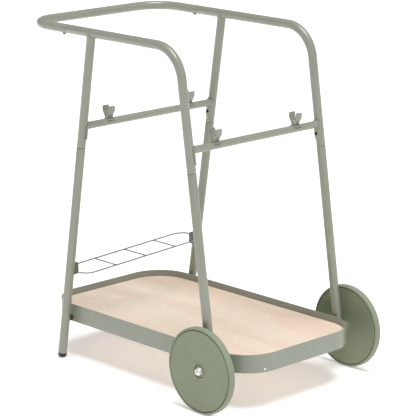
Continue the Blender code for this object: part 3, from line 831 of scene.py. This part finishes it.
# ------------------------------------------------------------------- side frames
@dataclass
class SideFrames:
    """Rails, legs and everything fixed to them, on both sides."""

    tube: float = 0.011
    wall: float = 0.0015
    track: float = 0.217
    rail_z: float = 0.840
    rear_top_x: float = -0.1343
    rear_foot_x: float = -0.2656
    corner_x: float = 0.1688
    axle: tuple[float, float] = (0.2772, 0.1037)
    bend_radius: float = 0.084
    seam_z: float = 0.5546
    seam_gap: float = 0.0006
    handle_seam_x: float = -0.2194
    foot_up: float = 0.0125
    bar_z: float = 0.6078
    cope_start: float = 0.002
    leg_past_axle: float = 0.022
    axle_bore: float = 0.0043
    seam_ease: float = 0.0010
    weld: float = 0.0015
    plate_radius: float = 0.0136
    plate_size: tuple[float, float, float] = (0.0256, 0.047, 0.015)
    plate_corner: float = 0.0100
    plate_drop: float = 0.0125
    plate_screw_drop: float = 0.023
    rear_down: Vector = field(init=False)
    front_down: Vector = field(init=False)

    def __post_init__(self) -> None:
        """Works out both leg directions."""
        self.rear_down = Vector((self.rear_foot_x - self.rear_top_x, 0, -self.rail_z)).normalized()
        self.front_down = Vector((self.axle[0] - self.corner_x, 0,
                                  self.axle[1] - self.rail_z)).normalized()

    def on_rear(self, z: float, side: int) -> Vector:
        """The rear leg's axis at height z.

        Args:
            z: the height in metres.
            side: 1 on the left, -1 on the right.

        Returns:
            The point.
        """
        share = (self.rail_z - z) / self.rail_z
        x = self.rear_top_x + (self.rear_foot_x - self.rear_top_x) * share
        return Vector((x, side * self.track, z))

    def on_front(self, z: float, side: int) -> Vector:
        """The front leg's axis at height z.

        Args:
            z: the height in metres.
            side: 1 on the left, -1 on the right.

        Returns:
            The point.
        """
        share = (self.rail_z - z) / (self.rail_z - self.axle[1])
        return Vector((self.corner_x + (self.axle[0] - self.corner_x) * share,
                       side * self.track, z))

    def build(self) -> None:
        """Builds both sides."""
        for name, side in SIDES:
            self.build_rail(name, side)
            self.build_rear_leg(name, side)
            self.build_front_leg(name, side)
            self.build_foot(name, side)
            for leg, at, down in (("rear", self.on_rear(self.bar_z, side), self.rear_down),
                                  ("front", self.on_front(self.bar_z, side), self.front_down)):
                self.build_plate(f"{leg}_{name}", side, at, down)

    def build_rail(self, name: str, side: int) -> None:
        """The push rail with its bend and the upper front leg, in one tube.

        Args:
            name: left or right.
            side: 1 on the left, -1 on the right.
        """
        turn = math.acos(self.front_down.x)
        reach = self.bend_radius * math.tan(turn / 2)
        start = Vector((self.handle_seam_x + self.seam_gap / 2, side * self.track, self.rail_z))
        bend_start = Vector((self.corner_x - reach, side * self.track, self.rail_z))
        centre = bend_start - Z_AXIS * self.bend_radius
        corner = Vector((self.corner_x, side * self.track, self.rail_z))
        end = self.on_front(self.seam_z, side) - self.front_down * self.seam_gap / 2
        drop = end - (corner + self.front_down * reach)
        piece = BENCH.tube(start, [lambda: BENCH.pull(bend_start - start),
                                   lambda: BENCH.bend(centre, Y_AXIS, turn, 28),
                                   lambda: BENCH.pull(drop)],
                           X_AXIS, self.tube, self.wall)
        BENCH.ease(piece, self.seam_ease)
        BENCH.done(piece, "side_rail_" + name, PAINT)

    def build_rear_leg(self, name: str, side: int) -> None:
        """The rear leg in two lengths, coped and welded under the rail.

        Args:
            name: left or right.
            side: 1 on the left, -1 on the right.
        """
        top = self.on_rear(self.rail_z - self.cope_start, side)
        seam = self.on_rear(self.seam_z, side)
        half_gap = self.rear_down * self.seam_gap / 2
        upper = BENCH.straight(top, seam - half_gap, self.tube, self.wall)
        rail = Vector((self.rear_top_x, side * self.track, self.rail_z))
        BENCH.cut(upper, BENCH.rod(rail - X_AXIS * 0.04, rail + X_AXIS * 0.04,
                                   self.tube + HAIR, 64))
        BENCH.select_edges(upper, lambda a, b: max(abs((spot - seam).dot(self.rear_down))
                                                   for spot in (a, b)) < 0.0006)
        bpy.ops.mesh.bevel(offset=0.0008, segments=2, affect="EDGES")
        bpy.ops.object.mode_set(mode="OBJECT")
        BENCH.done(upper, "rear_leg_upper_" + name, PAINT)
        line = meeting_curve(rail, self.rear_down, self.tube, rail, X_AXIS, self.tube)
        BENCH.done(BENCH.bead(line, self.weld, WELD_RIPPLES), "rail_weld_" + name, PAINT,
                   own_node=False)
        foot = self.on_rear(0.0, side) - self.rear_down * self.foot_up
        lower = BENCH.straight(seam + half_gap, foot, self.tube, self.wall)
        BENCH.ease(lower, self.seam_ease)
        BENCH.done(lower, "rear_leg_lower_" + name, PAINT)

    def build_front_leg(self, name: str, side: int) -> None:
        """The lower front leg, with the axle through it.

        Args:
            name: left or right.
            side: 1 on the left, -1 on the right.
        """
        seam = self.on_front(self.seam_z, side) + self.front_down * self.seam_gap / 2
        axle = self.on_front(self.axle[1], side)
        leg = BENCH.straight(seam, axle + self.front_down * self.leg_past_axle, self.tube,
                             self.wall)
        BENCH.cut(leg, BENCH.rod(axle - Y_AXIS * 0.03, axle + Y_AXIS * 0.03, self.axle_bore, 32))
        BENCH.ease(leg, 0.0009)
        BENCH.done(leg, "front_leg_lower_" + name, PAINT)

    def build_foot(self, name: str, side: int) -> None:
        """The black cap, domed below a thin collar and cut flat at the floor.

        Args:
            name: left or right.
            side: 1 on the left, -1 on the right.
        """
        foot = self.on_rear(0.0, side)
        high, radius = self.foot_up - 0.0003, self.tube
        profile = [(0.0085, high + 0.010), (0.0091, high + 0.008), (0.0091, high),
                   (radius - 0.0003, high), (radius, high - 0.0003), (radius, high - 0.0026),
                   (radius - 0.0006, high - 0.0031), (radius - 0.0006, high - 0.0037),
                   (radius - HAIR, high - 0.0042)]
        profile += [(0.0052 + (radius - 0.0053) * math.cos(angle), high - 0.0042
                     - 0.0068 * math.sin(angle))
                    for angle in (math.radians(step) for step in range(12, 91, 13))]
        profile += [(0.0048, -0.0040)]
        cap = BENCH.lathe(foot, -self.rear_down, profile, 48)
        ground = Matrix.Translation((foot.x, foot.y, -0.02))
        BENCH.cut(cap, BENCH.slab(ground, (0.06, 0.06, 0.04)))
        BENCH.done(cap, "foot_cap_" + name, BLACK, smooth=30.0)

    def build_plate(self, name: str, side: int, at: Vector, down: Vector) -> None:
        """The curved plate that a crossbar is welded to, and its screw.

        Args:
            name: which leg it is on, such as rear_left.
            side: 1 on the left, -1 on the right.
            at: the crossbar's place on the leg's axis.
            down: the leg's direction, downwards.
        """
        shell = BENCH.straight(at - down * 0.02, at + down * 0.045, self.plate_radius, self.wall,
                               72)
        across = Y_AXIS.cross(-down)
        turn = Matrix((across, -down, across.cross(-down))).transposed().to_4x4()
        middle = at + down * self.plate_drop
        middle.y = side * (self.track - 0.009)
        outline = BENCH.slab(Matrix.Translation(middle) @ turn, self.plate_size,
                             self.plate_corner, 10)
        BENCH.cut(shell, outline, "INTERSECT")
        BENCH.ease(shell, 0.0004, 3)
        BENCH.done(shell, "crossbar_saddle_" + name, PAINT)
        spot = at + down * self.plate_screw_drop
        spot.y = side * (self.track - self.plate_radius + 2 * HAIR)
        Screw("crossbar_screw_" + name, spot, Vector((0, -side, 0)), (0.0042, 0.0026),
              (0.0019, 0.0080), OXIDE).build()


@dataclass
class Handle:
    """The U-shaped push handle and its two screws."""

    sides: SideFrames
    far_x: float = -0.3699
    corner: float = 0.073
    screw_back: float = 0.0145

    def build(self) -> None:
        """Bends the handle from one tube and sets its screws."""
        track, z = self.sides.track, self.sides.rail_z
        start_x = self.sides.handle_seam_x - self.sides.seam_gap / 2
        start = Vector((start_x, -track, z))
        bend_x = self.far_x + self.corner
        first = Vector((bend_x, self.corner - track, z))
        second = Vector((bend_x, track - self.corner, z))
        steps = [lambda: BENCH.pull(Vector((bend_x - start_x, 0, 0))),
                 lambda: BENCH.bend(first, -Z_AXIS, math.pi / 2, 26),
                 lambda: BENCH.pull(Vector((0, 2 * (track - self.corner), 0))),
                 lambda: BENCH.bend(second, -Z_AXIS, math.pi / 2, 26),
                 lambda: BENCH.pull(Vector((start_x - bend_x, 0, 0)))]
        piece = BENCH.tube(start, steps, -X_AXIS, self.sides.tube, self.sides.wall)
        BENCH.ease(piece, self.sides.seam_ease)
        BENCH.done(piece, "handle_tube", PAINT)
        for name, side in SIDES:
            seat = Vector((self.sides.handle_seam_x - self.screw_back, side * track,
                           z - self.sides.tube + 2 * HAIR))
            Screw("handle_screw_" + name, seat, -Z_AXIS, (0.0045, 0.0036), (0.0019, 0.0050),
                  OXIDE).build()


# --------------------------------------------------------------------- crossbars
@dataclass
class Crossbars:
    """Both crossbars with their spring clips."""

    sides: SideFrames
    radius: float = 0.009
    wall: float = 0.0012
    half_length: float = 0.2095
    weld: float = 0.0009
    clip_y: float = 0.134
    clip_width: float = 0.020
    clip_strip: float = 0.0018
    clip_corners: tuple[tuple[float, float], ...] = (
        (-0.0111, 0.0400), (-0.0111, 0.0280), (-0.0037, 0.0160), (-0.0037, 0.0118),
        (0.0037, 0.0118), (0.0037, 0.0160), (0.0111, 0.0280), (0.0111, 0.0400))
    clip_bends: tuple[float, ...] = (0.0040, 0.0040, 0.0016, 0.0016, 0.0040, 0.0040)
    slot_up: float = 0.0153
    slot_size: tuple[float, float, float] = (0.0070, 0.0050, 0.050)

    def build(self) -> None:
        """Builds the rear bar and the front bar."""
        for leg, on_leg, down in (("rear", self.sides.on_rear, self.sides.rear_down),
                                  ("front", self.sides.on_front, self.sides.front_down)):
            z = self.sides.bar_z
            ends = {side: on_leg(z, side) for _, side in SIDES}
            start, end = ends[-1].copy(), ends[1].copy()
            start.y, end.y = -self.half_length, self.half_length
            bar = BENCH.straight(start, end, self.radius, self.wall, 44)
            for name, side in SIDES:
                at = ends[side]
                BENCH.cut(bar, BENCH.rod(at - down * 0.04, at + down * 0.04,
                                         self.sides.plate_radius + HAIR, 64))
                line = meeting_curve(at, Vector((0, -side, 0)), self.radius, at, down,
                                     self.sides.plate_radius)
                BENCH.done(BENCH.bead(line, self.weld, WELD_RIPPLES), f"{leg}_bar_weld_{name}",
                           PAINT, own_node=False)
                self.build_clip(f"{leg}_clip_{name}", Vector((at.x, side * self.clip_y, z)))
            BENCH.done(bar, leg + "_crossbar", PAINT)

    def build_clip(self, name: str, at: Vector) -> None:
        """A strip bent to two upright lips and a narrow neck, on a half-round foot.

        Args:
            name: the clip's name.
            at: the point on the bar's axis below it.
        """
        half = self.clip_strip / 2
        foot_radius = self.radius + 2 * HAIR + half
        foot = [at + Vector((foot_radius * math.sin(turn), 0, foot_radius * math.cos(turn)))
                for turn in (math.radians(angle) for angle in range(-70, 71, 7))]
        clip = BENCH.strip(foot, self.clip_width, self.clip_strip, 0.0045)
        path = rounded_path([at + Vector((x, 0, z)) for x, z in self.clip_corners],
                            self.clip_bends)
        wings = BENCH.strip(path, self.clip_width, self.clip_strip, 0.0022)
        slot = (Matrix.Translation(at + Z_AXIS * self.slot_up)
                @ Matrix.Rotation(math.pi / 2, 4, "Y"))
        BENCH.cut(wings, BENCH.slab(slot, self.slot_size, 0.0022))
        BENCH.cut(clip, wings, "UNION")
        BENCH.ease(clip, 0.00035)
        BENCH.done(clip, name, PAINT)


def rounded_path(corners: Sequence[Vector], radii: Sequence[float],
                 steps: int = 6) -> list[Vector]:
    """A path through corners, with an arc at each inner one.

    Args:
        corners: the corner points.
        radii: one radius for each inner corner.
        steps: how many steps each arc has.

    Returns:
        The points of the path.
    """
    path = [Vector(corners[0])]
    for before, corner, after, radius in zip(corners, corners[1:], corners[2:], radii):
        back, ahead = (before - corner).normalized(), (after - corner).normalized()
        half = back.angle(ahead) / 2
        centre = corner + (back + ahead).normalized() * radius / math.sin(half)
        first = corner + back * radius / math.tan(half) - centre
        last = corner + ahead * radius / math.tan(half) - centre
        turn = first.angle(last)
        for step in range(steps + 1):
            share = step / steps
            arm = first * math.sin((1 - share) * turn) + last * math.sin(share * turn)
            path.append(centre + arm / math.sin(turn))
    return path + [Vector(corners[-1])]


# -------------------------------------------------------------------------- tray
@dataclass
class Tray:
    """The rim, the wooden panel and what fixes them."""

    sides: SideFrames
    x_range: tuple[float, float] = (-0.3467, 0.3732)
    half_width: float = 0.1989
    corner: float = 0.0947
    rim_z: tuple[float, float] = (0.0948, 0.1395)
    sheet: float = 0.0020
    rim_ease: float = 0.0008
    panel_top: float = 0.1235
    panel_thick: float = 0.0120
    panel_gap: float = 0.0011
    panel_ease: float = 0.0012
    # x, y and turn in degrees on the left side
    tabs: tuple[tuple[float, float, float], ...] = ((-0.3391, 0.063, 0.0),
                                                    (0.2993, 0.1878, 76.2))
    screws: tuple[tuple[str, tuple[float, float]], ...] = (("rear", (-0.3390, 0.063)),
                                                           ("side", (0.2993, 0.1885)))
    screw_sink: float = 0.0012
    rivet_y: float = 0.0293
    rivet_z: float = 0.1030
    spacer_radius: float = 0.0075
    spacer_bores: tuple[float, float] = (0.0043, 0.0033)
    nut_y: float = 0.1894

    def outline(self, inset: float, z: float) -> bpy.types.Object:
        """A flat sheet with the tray's round corners.

        Args:
            inset: how far inside the rim's outer face it lies.
            z: its height.

        Returns:
            The object, in edit mode with all of it selected.
        """
        low, high = self.x_range
        BENCH.clear()
        bpy.ops.mesh.primitive_plane_add(size=1.0, location=((low + high) / 2, 0, z))
        piece = bpy.context.object
        piece.scale = (high - low - 2 * inset, 2 * (self.half_width - inset), 1.0)
        bpy.ops.object.transform_apply(location=True, rotation=True, scale=True)
        BENCH.edit()
        bpy.ops.mesh.bevel(offset=self.corner - inset, segments=30, affect="VERTICES")
        bpy.ops.mesh.select_all(action="SELECT")
        return piece

    def build(self) -> None:
        """Builds the tray and its fixings."""
        self.build_rim()
        self.build_panel()
        for name, side in SIDES:
            self.build_fixings(name, side)

    def build_rim(self) -> None:
        """A band of sheet with rounded edges and four tabs under the panel."""
        low, high = self.rim_z
        rim = self.outline(0.0, high)
        bpy.ops.mesh.delete(type="ONLY_FACE")
        bpy.ops.mesh.select_all(action="SELECT")
        BENCH.pull(Vector((0, 0, low - high)))
        BENCH.close()
        BENCH.apply(rim, "SOLIDIFY", thickness=self.sheet, offset=-1.0, use_even_offset=True)
        BENCH.ease(rim, self.rim_ease, 3)
        tab_z = self.panel_top - self.panel_thick - 0.0013
        for _, side in SIDES:
            for x, y, turn in self.tabs:
                place = (Matrix.Translation((x, side * y, tab_z))
                         @ Matrix.Rotation(side * math.radians(turn), 4, "Z"))
                tab = BENCH.slab(place, (0.0142, 0.016, self.sheet), 0.0012, 3)
                BENCH.cut(rim, tab, "UNION")
        BENCH.done(rim, "tray_rim", RIM)

    def build_panel(self) -> None:
        """The plywood panel, its edges lightly broken."""
        panel = self.outline(self.sheet + self.panel_gap, self.panel_top)
        BENCH.pull(Vector((0, 0, -self.panel_thick)))
        BENCH.close()
        BENCH.ease(panel, self.panel_ease)
        for _, (x, y) in self.screws:
            for _, side in SIDES:
                seat = Vector((x, side * y, self.panel_top - self.screw_sink - 2 * HAIR))
                BENCH.cut(panel, BENCH.rod(seat, seat + Z_AXIS * 0.01, 0.0034, 32))
                BENCH.cut(panel, BENCH.rod(seat - Z_AXIS * 0.02, seat + Z_AXIS * 0.01, 0.0021, 24))
        BENCH.done(panel, "tray_panel", VENEER)

    def build_fixings(self, name: str, side: int) -> None:
        """Panel screws, rivet, spacers, bolt and nut on one side.

        Args:
            name: left or right.
            side: 1 on the left, -1 on the right.
        """
        for place, (x, y) in self.screws:
            Screw(f"panel_screw_{place}_{name}",
                  Vector((x, side * y, self.panel_top - self.screw_sink)),
                  Z_AXIS, (0.0030, 0.0020), (0.0017, 0.0150), ZINC, Drive.CROSS).build()
        centre = Vector((self.x_range[1] - self.corner, side * (self.half_width - self.corner),
                         self.rivet_z))
        away = Vector((math.sqrt(self.corner ** 2 - self.rivet_y ** 2), side * self.rivet_y,
                       0)).normalized()
        Screw("rim_rivet_" + name, centre + away * self.corner, away, (0.0029, 0.0015),
              (0.0017, 0.0050), RIM if side > 0 else ZINC, Drive.PLAIN).build()
        axle = self.sides.on_front(self.sides.axle[1], side)
        bolt = self.sides.on_rear(self.sides.axle[1], side)
        start, end = self.half_width + HAIR, self.sides.track - self.sides.tube - HAIR
        length, round_edge = end - start, 0.0004
        for leg, at, bore in zip(("front", "rear"), (axle, bolt), self.spacer_bores):
            flat = self.spacer_radius - round_edge
            profile = [(bore, 0.0), (flat, 0.0), (self.spacer_radius, round_edge),
                       (self.spacer_radius, length - round_edge), (flat, length), (bore, length),
                       (bore, 0.0)]
            spacer = BENCH.lathe(Vector((at.x, side * start, at.z)), Vector((0, side, 0)), profile,
                                 36, cap_first=False, cap_last=False)
            # The spacers' dark steel is partly painted shade, for the shadow between the rim and
            # the leg.
            BENCH.done(spacer, f"{leg}_tray_spacer_{name}", BARE_STEEL_AND_SHADE)
        Screw("tray_bolt_" + name,
              Vector((bolt.x, side * (self.half_width - self.sheet - 4 * HAIR), bolt.z)),
              Vector((0, -side, 0)), (0.0060, 0.0036), (0.0030, 0.0165), OXIDE).build()
        nut = BENCH.lathe(Vector((axle.x, side * self.nut_y, axle.z)), Vector((0, side, 0)),
                          [(0.0064, 0.0), (0.0072, 0.0006), (0.0072, 0.0059), (0.0064, 0.0065)], 6)
        BENCH.cut(nut, BENCH.rod(Vector((axle.x, side * 0.185, axle.z)),
                                 Vector((axle.x, side * 0.200, axle.z)), 0.0041, 32))
        BENCH.done(nut, "axle_nut_" + name, ZINC, smooth=20.0)


# --------------------------------------------------------------------- wire rack
@dataclass
class WireRack:
    """The sloping wire loop with three rungs, and its end blocks."""

    sides: SideFrames
    wire: float = 0.0019
    z: float = 0.2383
    slope: float = 0.0477
    half_width: float = 0.0423
    half_length: float = 0.2030
    corner: float = 0.032
    rungs: tuple[float, ...] = (-0.1012, 0.0, 0.1012)
    block_nose_y: float = 0.1962
    block_size: tuple[float, float, float] = (0.030, 0.025, 0.016)
    block_corner: float = 0.0060

    def build(self) -> None:
        """Builds the wires and both blocks."""
        self.build_wires()
        for name, side in SIDES:
            self.build_block(name, side)

    def build_wires(self) -> None:
        """Bends the loop flat, adds the rungs, and tilts it to its slope."""
        x = self.sides.on_rear(self.z, 1).x
        inner_x, inner_y = self.half_width - self.corner, self.half_length - self.corner
        BENCH.ring(Vector((x + self.half_width, -inner_y, self.z)), Y_AXIS, self.wire, 16)
        for sign_x, sign_y in ((1, 1), (-1, 1), (-1, -1), (1, -1)):
            along_y = sign_x * sign_y > 0
            run = Vector((0, sign_x * 2 * inner_y, 0)) if along_y else Vector(
                (-sign_y * 2 * inner_x, 0, 0))
            BENCH.pull(run)
            BENCH.bend(Vector((x + sign_x * inner_x, sign_y * inner_y, self.z)), Z_AXIS,
                       math.pi / 2, 14)
        loop = BENCH.close(1e-5)
        for y in self.rungs:
            half, thin = self.half_width, self.wire * 0.93
            profile = [(thin * 1.05, -half), (thin * 1.35, -half + 0.0016),
                       (thin * 1.18, -half + 0.0026), (thin, -half + 0.0038),
                       (thin, half - 0.0038), (thin * 1.18, half - 0.0026),
                       (thin * 1.35, half - 0.0016), (thin * 1.05, half)]
            rung = BENCH.lathe(Vector((x, y, self.z)), X_AXIS, profile, 16)
            BENCH.cut(loop, rung, "UNION")
        BENCH.settle(loop)
        tilt = (Matrix.Translation((0, 0, self.z)) @ Matrix.Rotation(math.atan(self.slope), 4, "X")
                @ Matrix.Translation((0, 0, -self.z)))
        loop.matrix_world = tilt
        BENCH.done(loop, "rack_wire_frame", WIRE)

    def build_block(self, name: str, side: int) -> None:
        """A moulded block against the leg, which holds the end wire and one screw.

        Args:
            name: left or right.
            side: 1 on the left, -1 on the right.
        """
        centre = self.sides.on_rear(self.z, side)
        wire_z = self.z + self.slope * side * self.half_length
        screw_z = 2 * self.z - wire_z
        nose = self.block_nose_y
        turn = Matrix.Rotation(math.pi / 2, 4, "Y")
        middle = Matrix.Translation((centre.x, side * (nose + self.block_size[1] / 2), self.z))
        block = BENCH.slab(middle @ turn, self.block_size, self.block_corner, 7)
        BENCH.cut(block, BENCH.rod(centre - self.sides.rear_down * 0.05,
                                   centre + self.sides.rear_down * 0.05,
                                   self.sides.tube + 2 * HAIR, 64))
        outer = Matrix.Translation((centre.x, side * (self.sides.track + 0.020), self.z))
        BENCH.cut(block, BENCH.slab(outer, (0.06, 0.0412, 0.06)))
        wire = Vector((centre.x, side * self.half_length, wire_z))
        BENCH.cut(block, BENCH.rod(wire - X_AXIS * 0.02, wire + X_AXIS * 0.02, 0.0023, 24))
        screw = Vector((self.sides.on_rear(screw_z, side).x, side * nose, screw_z))
        inward = Vector((0, -side, 0))
        BENCH.cut(block, BENCH.rod(screw - inward * 0.0010, screw + inward * 0.005, 0.0046, 32))
        BENCH.ease(block, 0.0012, 3)
        BENCH.done(block, "rack_bracket_" + name, BRACKET)
        Screw("rack_screw_" + name, screw - inward * 0.0009, inward, (0.0040, 0.0024),
              (0.0019, 0.0150), OXIDE).build()


# ------------------------------------------------------------------------ wheels
@dataclass
class Wheels:
    """Both wheels and their axle bolts."""

    radius: float = 0.1037
    axle: tuple[float, float] = (0.2772, 0.1037)
    inner_y: float = 0.2411
    thick: float = 0.0175
    disc_radius: float = 0.0976
    tyre_inner: float = 0.0979
    bore: float = 0.0043
    bolt_face_y: float = 0.2662
    bolt_end_y: float = 0.1880
    socket_radius: float = 0.0031

    def build(self) -> None:
        """Builds both wheels."""
        for name, side in SIDES:
            centre = Vector((self.axle[0], side * self.inner_y, self.axle[1]))
            self.build_disc(name, side, centre)
            self.build_tyre(name, side, centre)
            self.build_bolt(name, side)

    def build_disc(self, name: str, side: int, centre: Vector) -> None:
        """A flat disc, slightly dished, with a hub recess outside and a boss inside.

        Args:
            name: left or right.
            side: 1 on the left, -1 on the right.
            centre: the middle of the wheel's inner face.
        """
        t, edge = self.thick, self.disc_radius
        profile = [(self.bore, -0.0125), (0.0115, -0.0125), (0.0120, -0.0120), (0.0120, -0.0022),
                   (0.0127, -0.0008), (0.0142, 0.0), (0.0300, 0.0003), (0.0860, 0.0006),
                   (0.0900, 0.0), (edge - 0.0021, 0.0), (edge - 0.0016, 0.0003),
                   (edge - 0.0014, 0.0008), (edge - 0.0014, 0.0054), (edge, 0.0060),
                   (edge, t - 0.0060), (edge - 0.0014, t - 0.0054), (edge - 0.0014, t - 0.0008),
                   (edge - 0.0016, t - 0.0003), (edge - 0.0022, t), (0.0800, t - 0.0004),
                   (0.0500, t - 0.0009), (0.0260, t - 0.0012), (0.0205, t - 0.0011),
                   (0.0195, t - 0.0004), (0.0180, t - 0.0001), (0.0168, t - 0.0003),
                   (0.0164, t - 0.0009), (0.0163, t - 0.0042), (0.0151, t - 0.0042),
                   (0.0150, t - 0.0026), (0.0146, t - 0.0021), (0.0108, t - 0.0020),
                   (self.bore, t - 0.0020), (self.bore, -0.0125)]
        disc = BENCH.lathe(centre, Vector((0, side, 0)), profile, 128, False, False)
        BENCH.done(disc, "wheel_disc_" + name, DISC, name + "_wheel", smooth=28.0)

    def build_tyre(self, name: str, side: int, centre: Vector) -> None:
        """A solid band with round shoulders and a fine mould line.

        Args:
            name: left or right.
            side: 1 on the left, -1 on the right.
            centre: the middle of the wheel's inner face.
        """
        t, inner, outer = self.thick, self.tyre_inner, self.radius
        profile = [(inner, 0.0012), (inner + 0.0004, 0.0004), (inner + 0.0012, 0.0)]
        shoulder = 0.0042
        profile += [(outer - shoulder + shoulder * math.sin(turn),
                     shoulder * (1 - math.cos(turn)))
                    for turn in (math.radians(angle) for angle in range(0, 91, 15))]
        profile += [(outer, t / 2 - 0.0003), (outer + 0.00012, t / 2), (outer, t / 2 + 0.0003)]
        profile += [(outer - shoulder + shoulder * math.cos(turn),
                     t - shoulder * (1 - math.sin(turn)))
                    for turn in (math.radians(angle) for angle in range(0, 91, 15))]
        profile += [(inner + 0.0014, t), (inner + 0.0005, t - 0.0004), (inner, t - 0.0014),
                    (inner, 0.0012)]
        tyre = BENCH.lathe(centre, Vector((0, side, 0)), profile, 128, False, False)
        BENCH.done(tyre, "wheel_tyre_" + name, TYRE, name + "_wheel", smooth=32.0)

    def build_bolt(self, name: str, side: int) -> None:
        """A flanged zinc bolt with a domed head and a deep hex socket.

        Args:
            name: left or right.
            side: 1 on the left, -1 on the right.
        """
        seat, face = self.inner_y + self.thick - 0.0018, self.bolt_face_y
        high, end = face - seat, self.bolt_end_y - seat
        profile = [(0.0034, end), (0.0040, end + 0.0006), (0.0040, -HAIR),
                   (0.0098, 0.0), (0.0101, 0.0004), (0.0101, 0.0014), (0.0097, 0.0020)]
        profile += [(0.0044 + 0.0051 * math.cos(turn), 0.0024 + (high - 0.0024) * math.sin(turn))
                    for turn in (math.radians(angle) for angle in range(4, 91, 14))]
        profile += [(0.0040, high)]
        bolt = BENCH.lathe(Vector((self.axle[0], side * seat, self.axle[1])),
                           Vector((0, side, 0)), profile, 48)
        socket = BENCH.rod(Vector((self.axle[0], side * (face - 0.0046), self.axle[1])),
                           Vector((self.axle[0], side * (face + 0.001), self.axle[1])),
                           self.socket_radius, 6)
        BENCH.cut(bolt, socket)
        BENCH.done(bolt, "axle_bolt_" + name, ZINC, smooth=32.0)


# ------------------------------------------------------------------------ studio
@dataclass
class Studio:
    """Pale floor, soft light and the camera."""

    camera_place: tuple[float, float, float] = (3.50170, -3.33701, 1.63107)
    azimuth: float = 46.0555
    elevation: float = 14.3123
    lens: float = 175.915
    surround_light: float = 0.28
    # name, strength, spread, tilt and turn in degrees
    lights: tuple[tuple[str, float, float, float, float], ...] = (
        ("overhead", 2.85, 34.0, 12.0, 75.0), ("side", 0.16, 60.0, 70.0, 5.0),
        ("front", 0.24, 50.0, 58.0, 100.0))

    def build(self) -> None:
        """Sets up the floor, lights, surround and camera."""
        self.build_floor()
        self.build_lights()
        self.build_surround()
        self.build_camera()
        bpy.context.scene.view_settings.view_transform = "Standard"

    def build_camera(self) -> None:
        """The camera, at its place and with its lens."""
        data = bpy.data.cameras.new("camera")
        data.sensor_width = 36.0
        data.lens = self.lens
        data.clip_end = 200.0
        camera = bpy.data.objects.new("camera", data)
        camera.location = self.camera_place
        camera.rotation_euler = (math.radians(90 - self.elevation), 0, math.radians(self.azimuth))
        bpy.context.scene.collection.objects.link(camera)
        bpy.context.scene.camera = camera

    def build_floor(self) -> None:
        """A wide pale floor with a faint mottle."""
        BENCH.clear()
        bpy.ops.mesh.primitive_plane_add(size=60.0, location=(0, 0, -0.0002))
        floor = bpy.context.object
        floor.name = "studio_floor"
        sheet = Sheet(bpy.data.materials.new("pale_floor"))
        mottle = sheet.noise(sheet.place(), 1.5, 2.0)
        floor.data.materials.append(sheet.finish(
            sheet.mix(mottle, (0.93, 0.93, 0.93), (0.94, 0.94, 0.94)), 0.9,
            Specular_IOR_Level=0.0, Emission_Color=WHITE, Emission_Strength=0.28))

    def build_lights(self) -> None:
        """A wide overhead light and two weak side lights."""
        for name, strength, spread, tilt, turn in self.lights:
            light = bpy.data.lights.new(name, "SUN")
            light.energy = strength
            light.angle = math.radians(spread)
            lamp = bpy.data.objects.new(name, light)
            lamp.rotation_euler = (math.radians(tilt), 0, math.radians(turn))
            bpy.context.scene.collection.objects.link(lamp)

    def build_surround(self) -> None:
        """A white surround that gives little light of its own."""
        bpy.context.scene.world = bpy.data.worlds.new("surround")
        sheet = Sheet(bpy.context.scene.world)
        soft, seen = (sheet.node("ShaderNodeBackground", {}, {"Color": WHITE, "Strength": light})
                      for light in (self.surround_light, 1.0))
        camera_ray = sheet.node("ShaderNodeLightPath", output="Is Camera Ray")
        both = sheet.node("ShaderNodeMixShader", {}, {0: camera_ray, 1: soft, 2: seen})
        sheet.node("ShaderNodeOutputWorld", {}, {"Surface": both})


def dress_hidden_nodes() -> None:
    """Gives the joining sleeves, which stay as they are, their bare steel."""
    for name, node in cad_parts.items():
        if not node.hide_render:
            node.data.materials.clear()
            node.data.materials.append(BARE_STEEL_AND_SHADE.material())
            LOG.info("%-26s kept from the frame", name)


def main() -> None:
    """Builds the studio and the trolley, sub-assembly by sub-assembly."""
    logging.basicConfig(level=logging.INFO, format="%(message)s")
    Studio().build()
    sides = SideFrames()
    for assembly in (sides, Handle(sides), Crossbars(sides), Tray(sides), WireRack(sides),
                     Wheels()):
        assembly.build()
        LOG.info("built %s", type(assembly).__name__)
    dress_hidden_nodes()
    BENCH.clear()


if __name__ == "__main__":
    main()
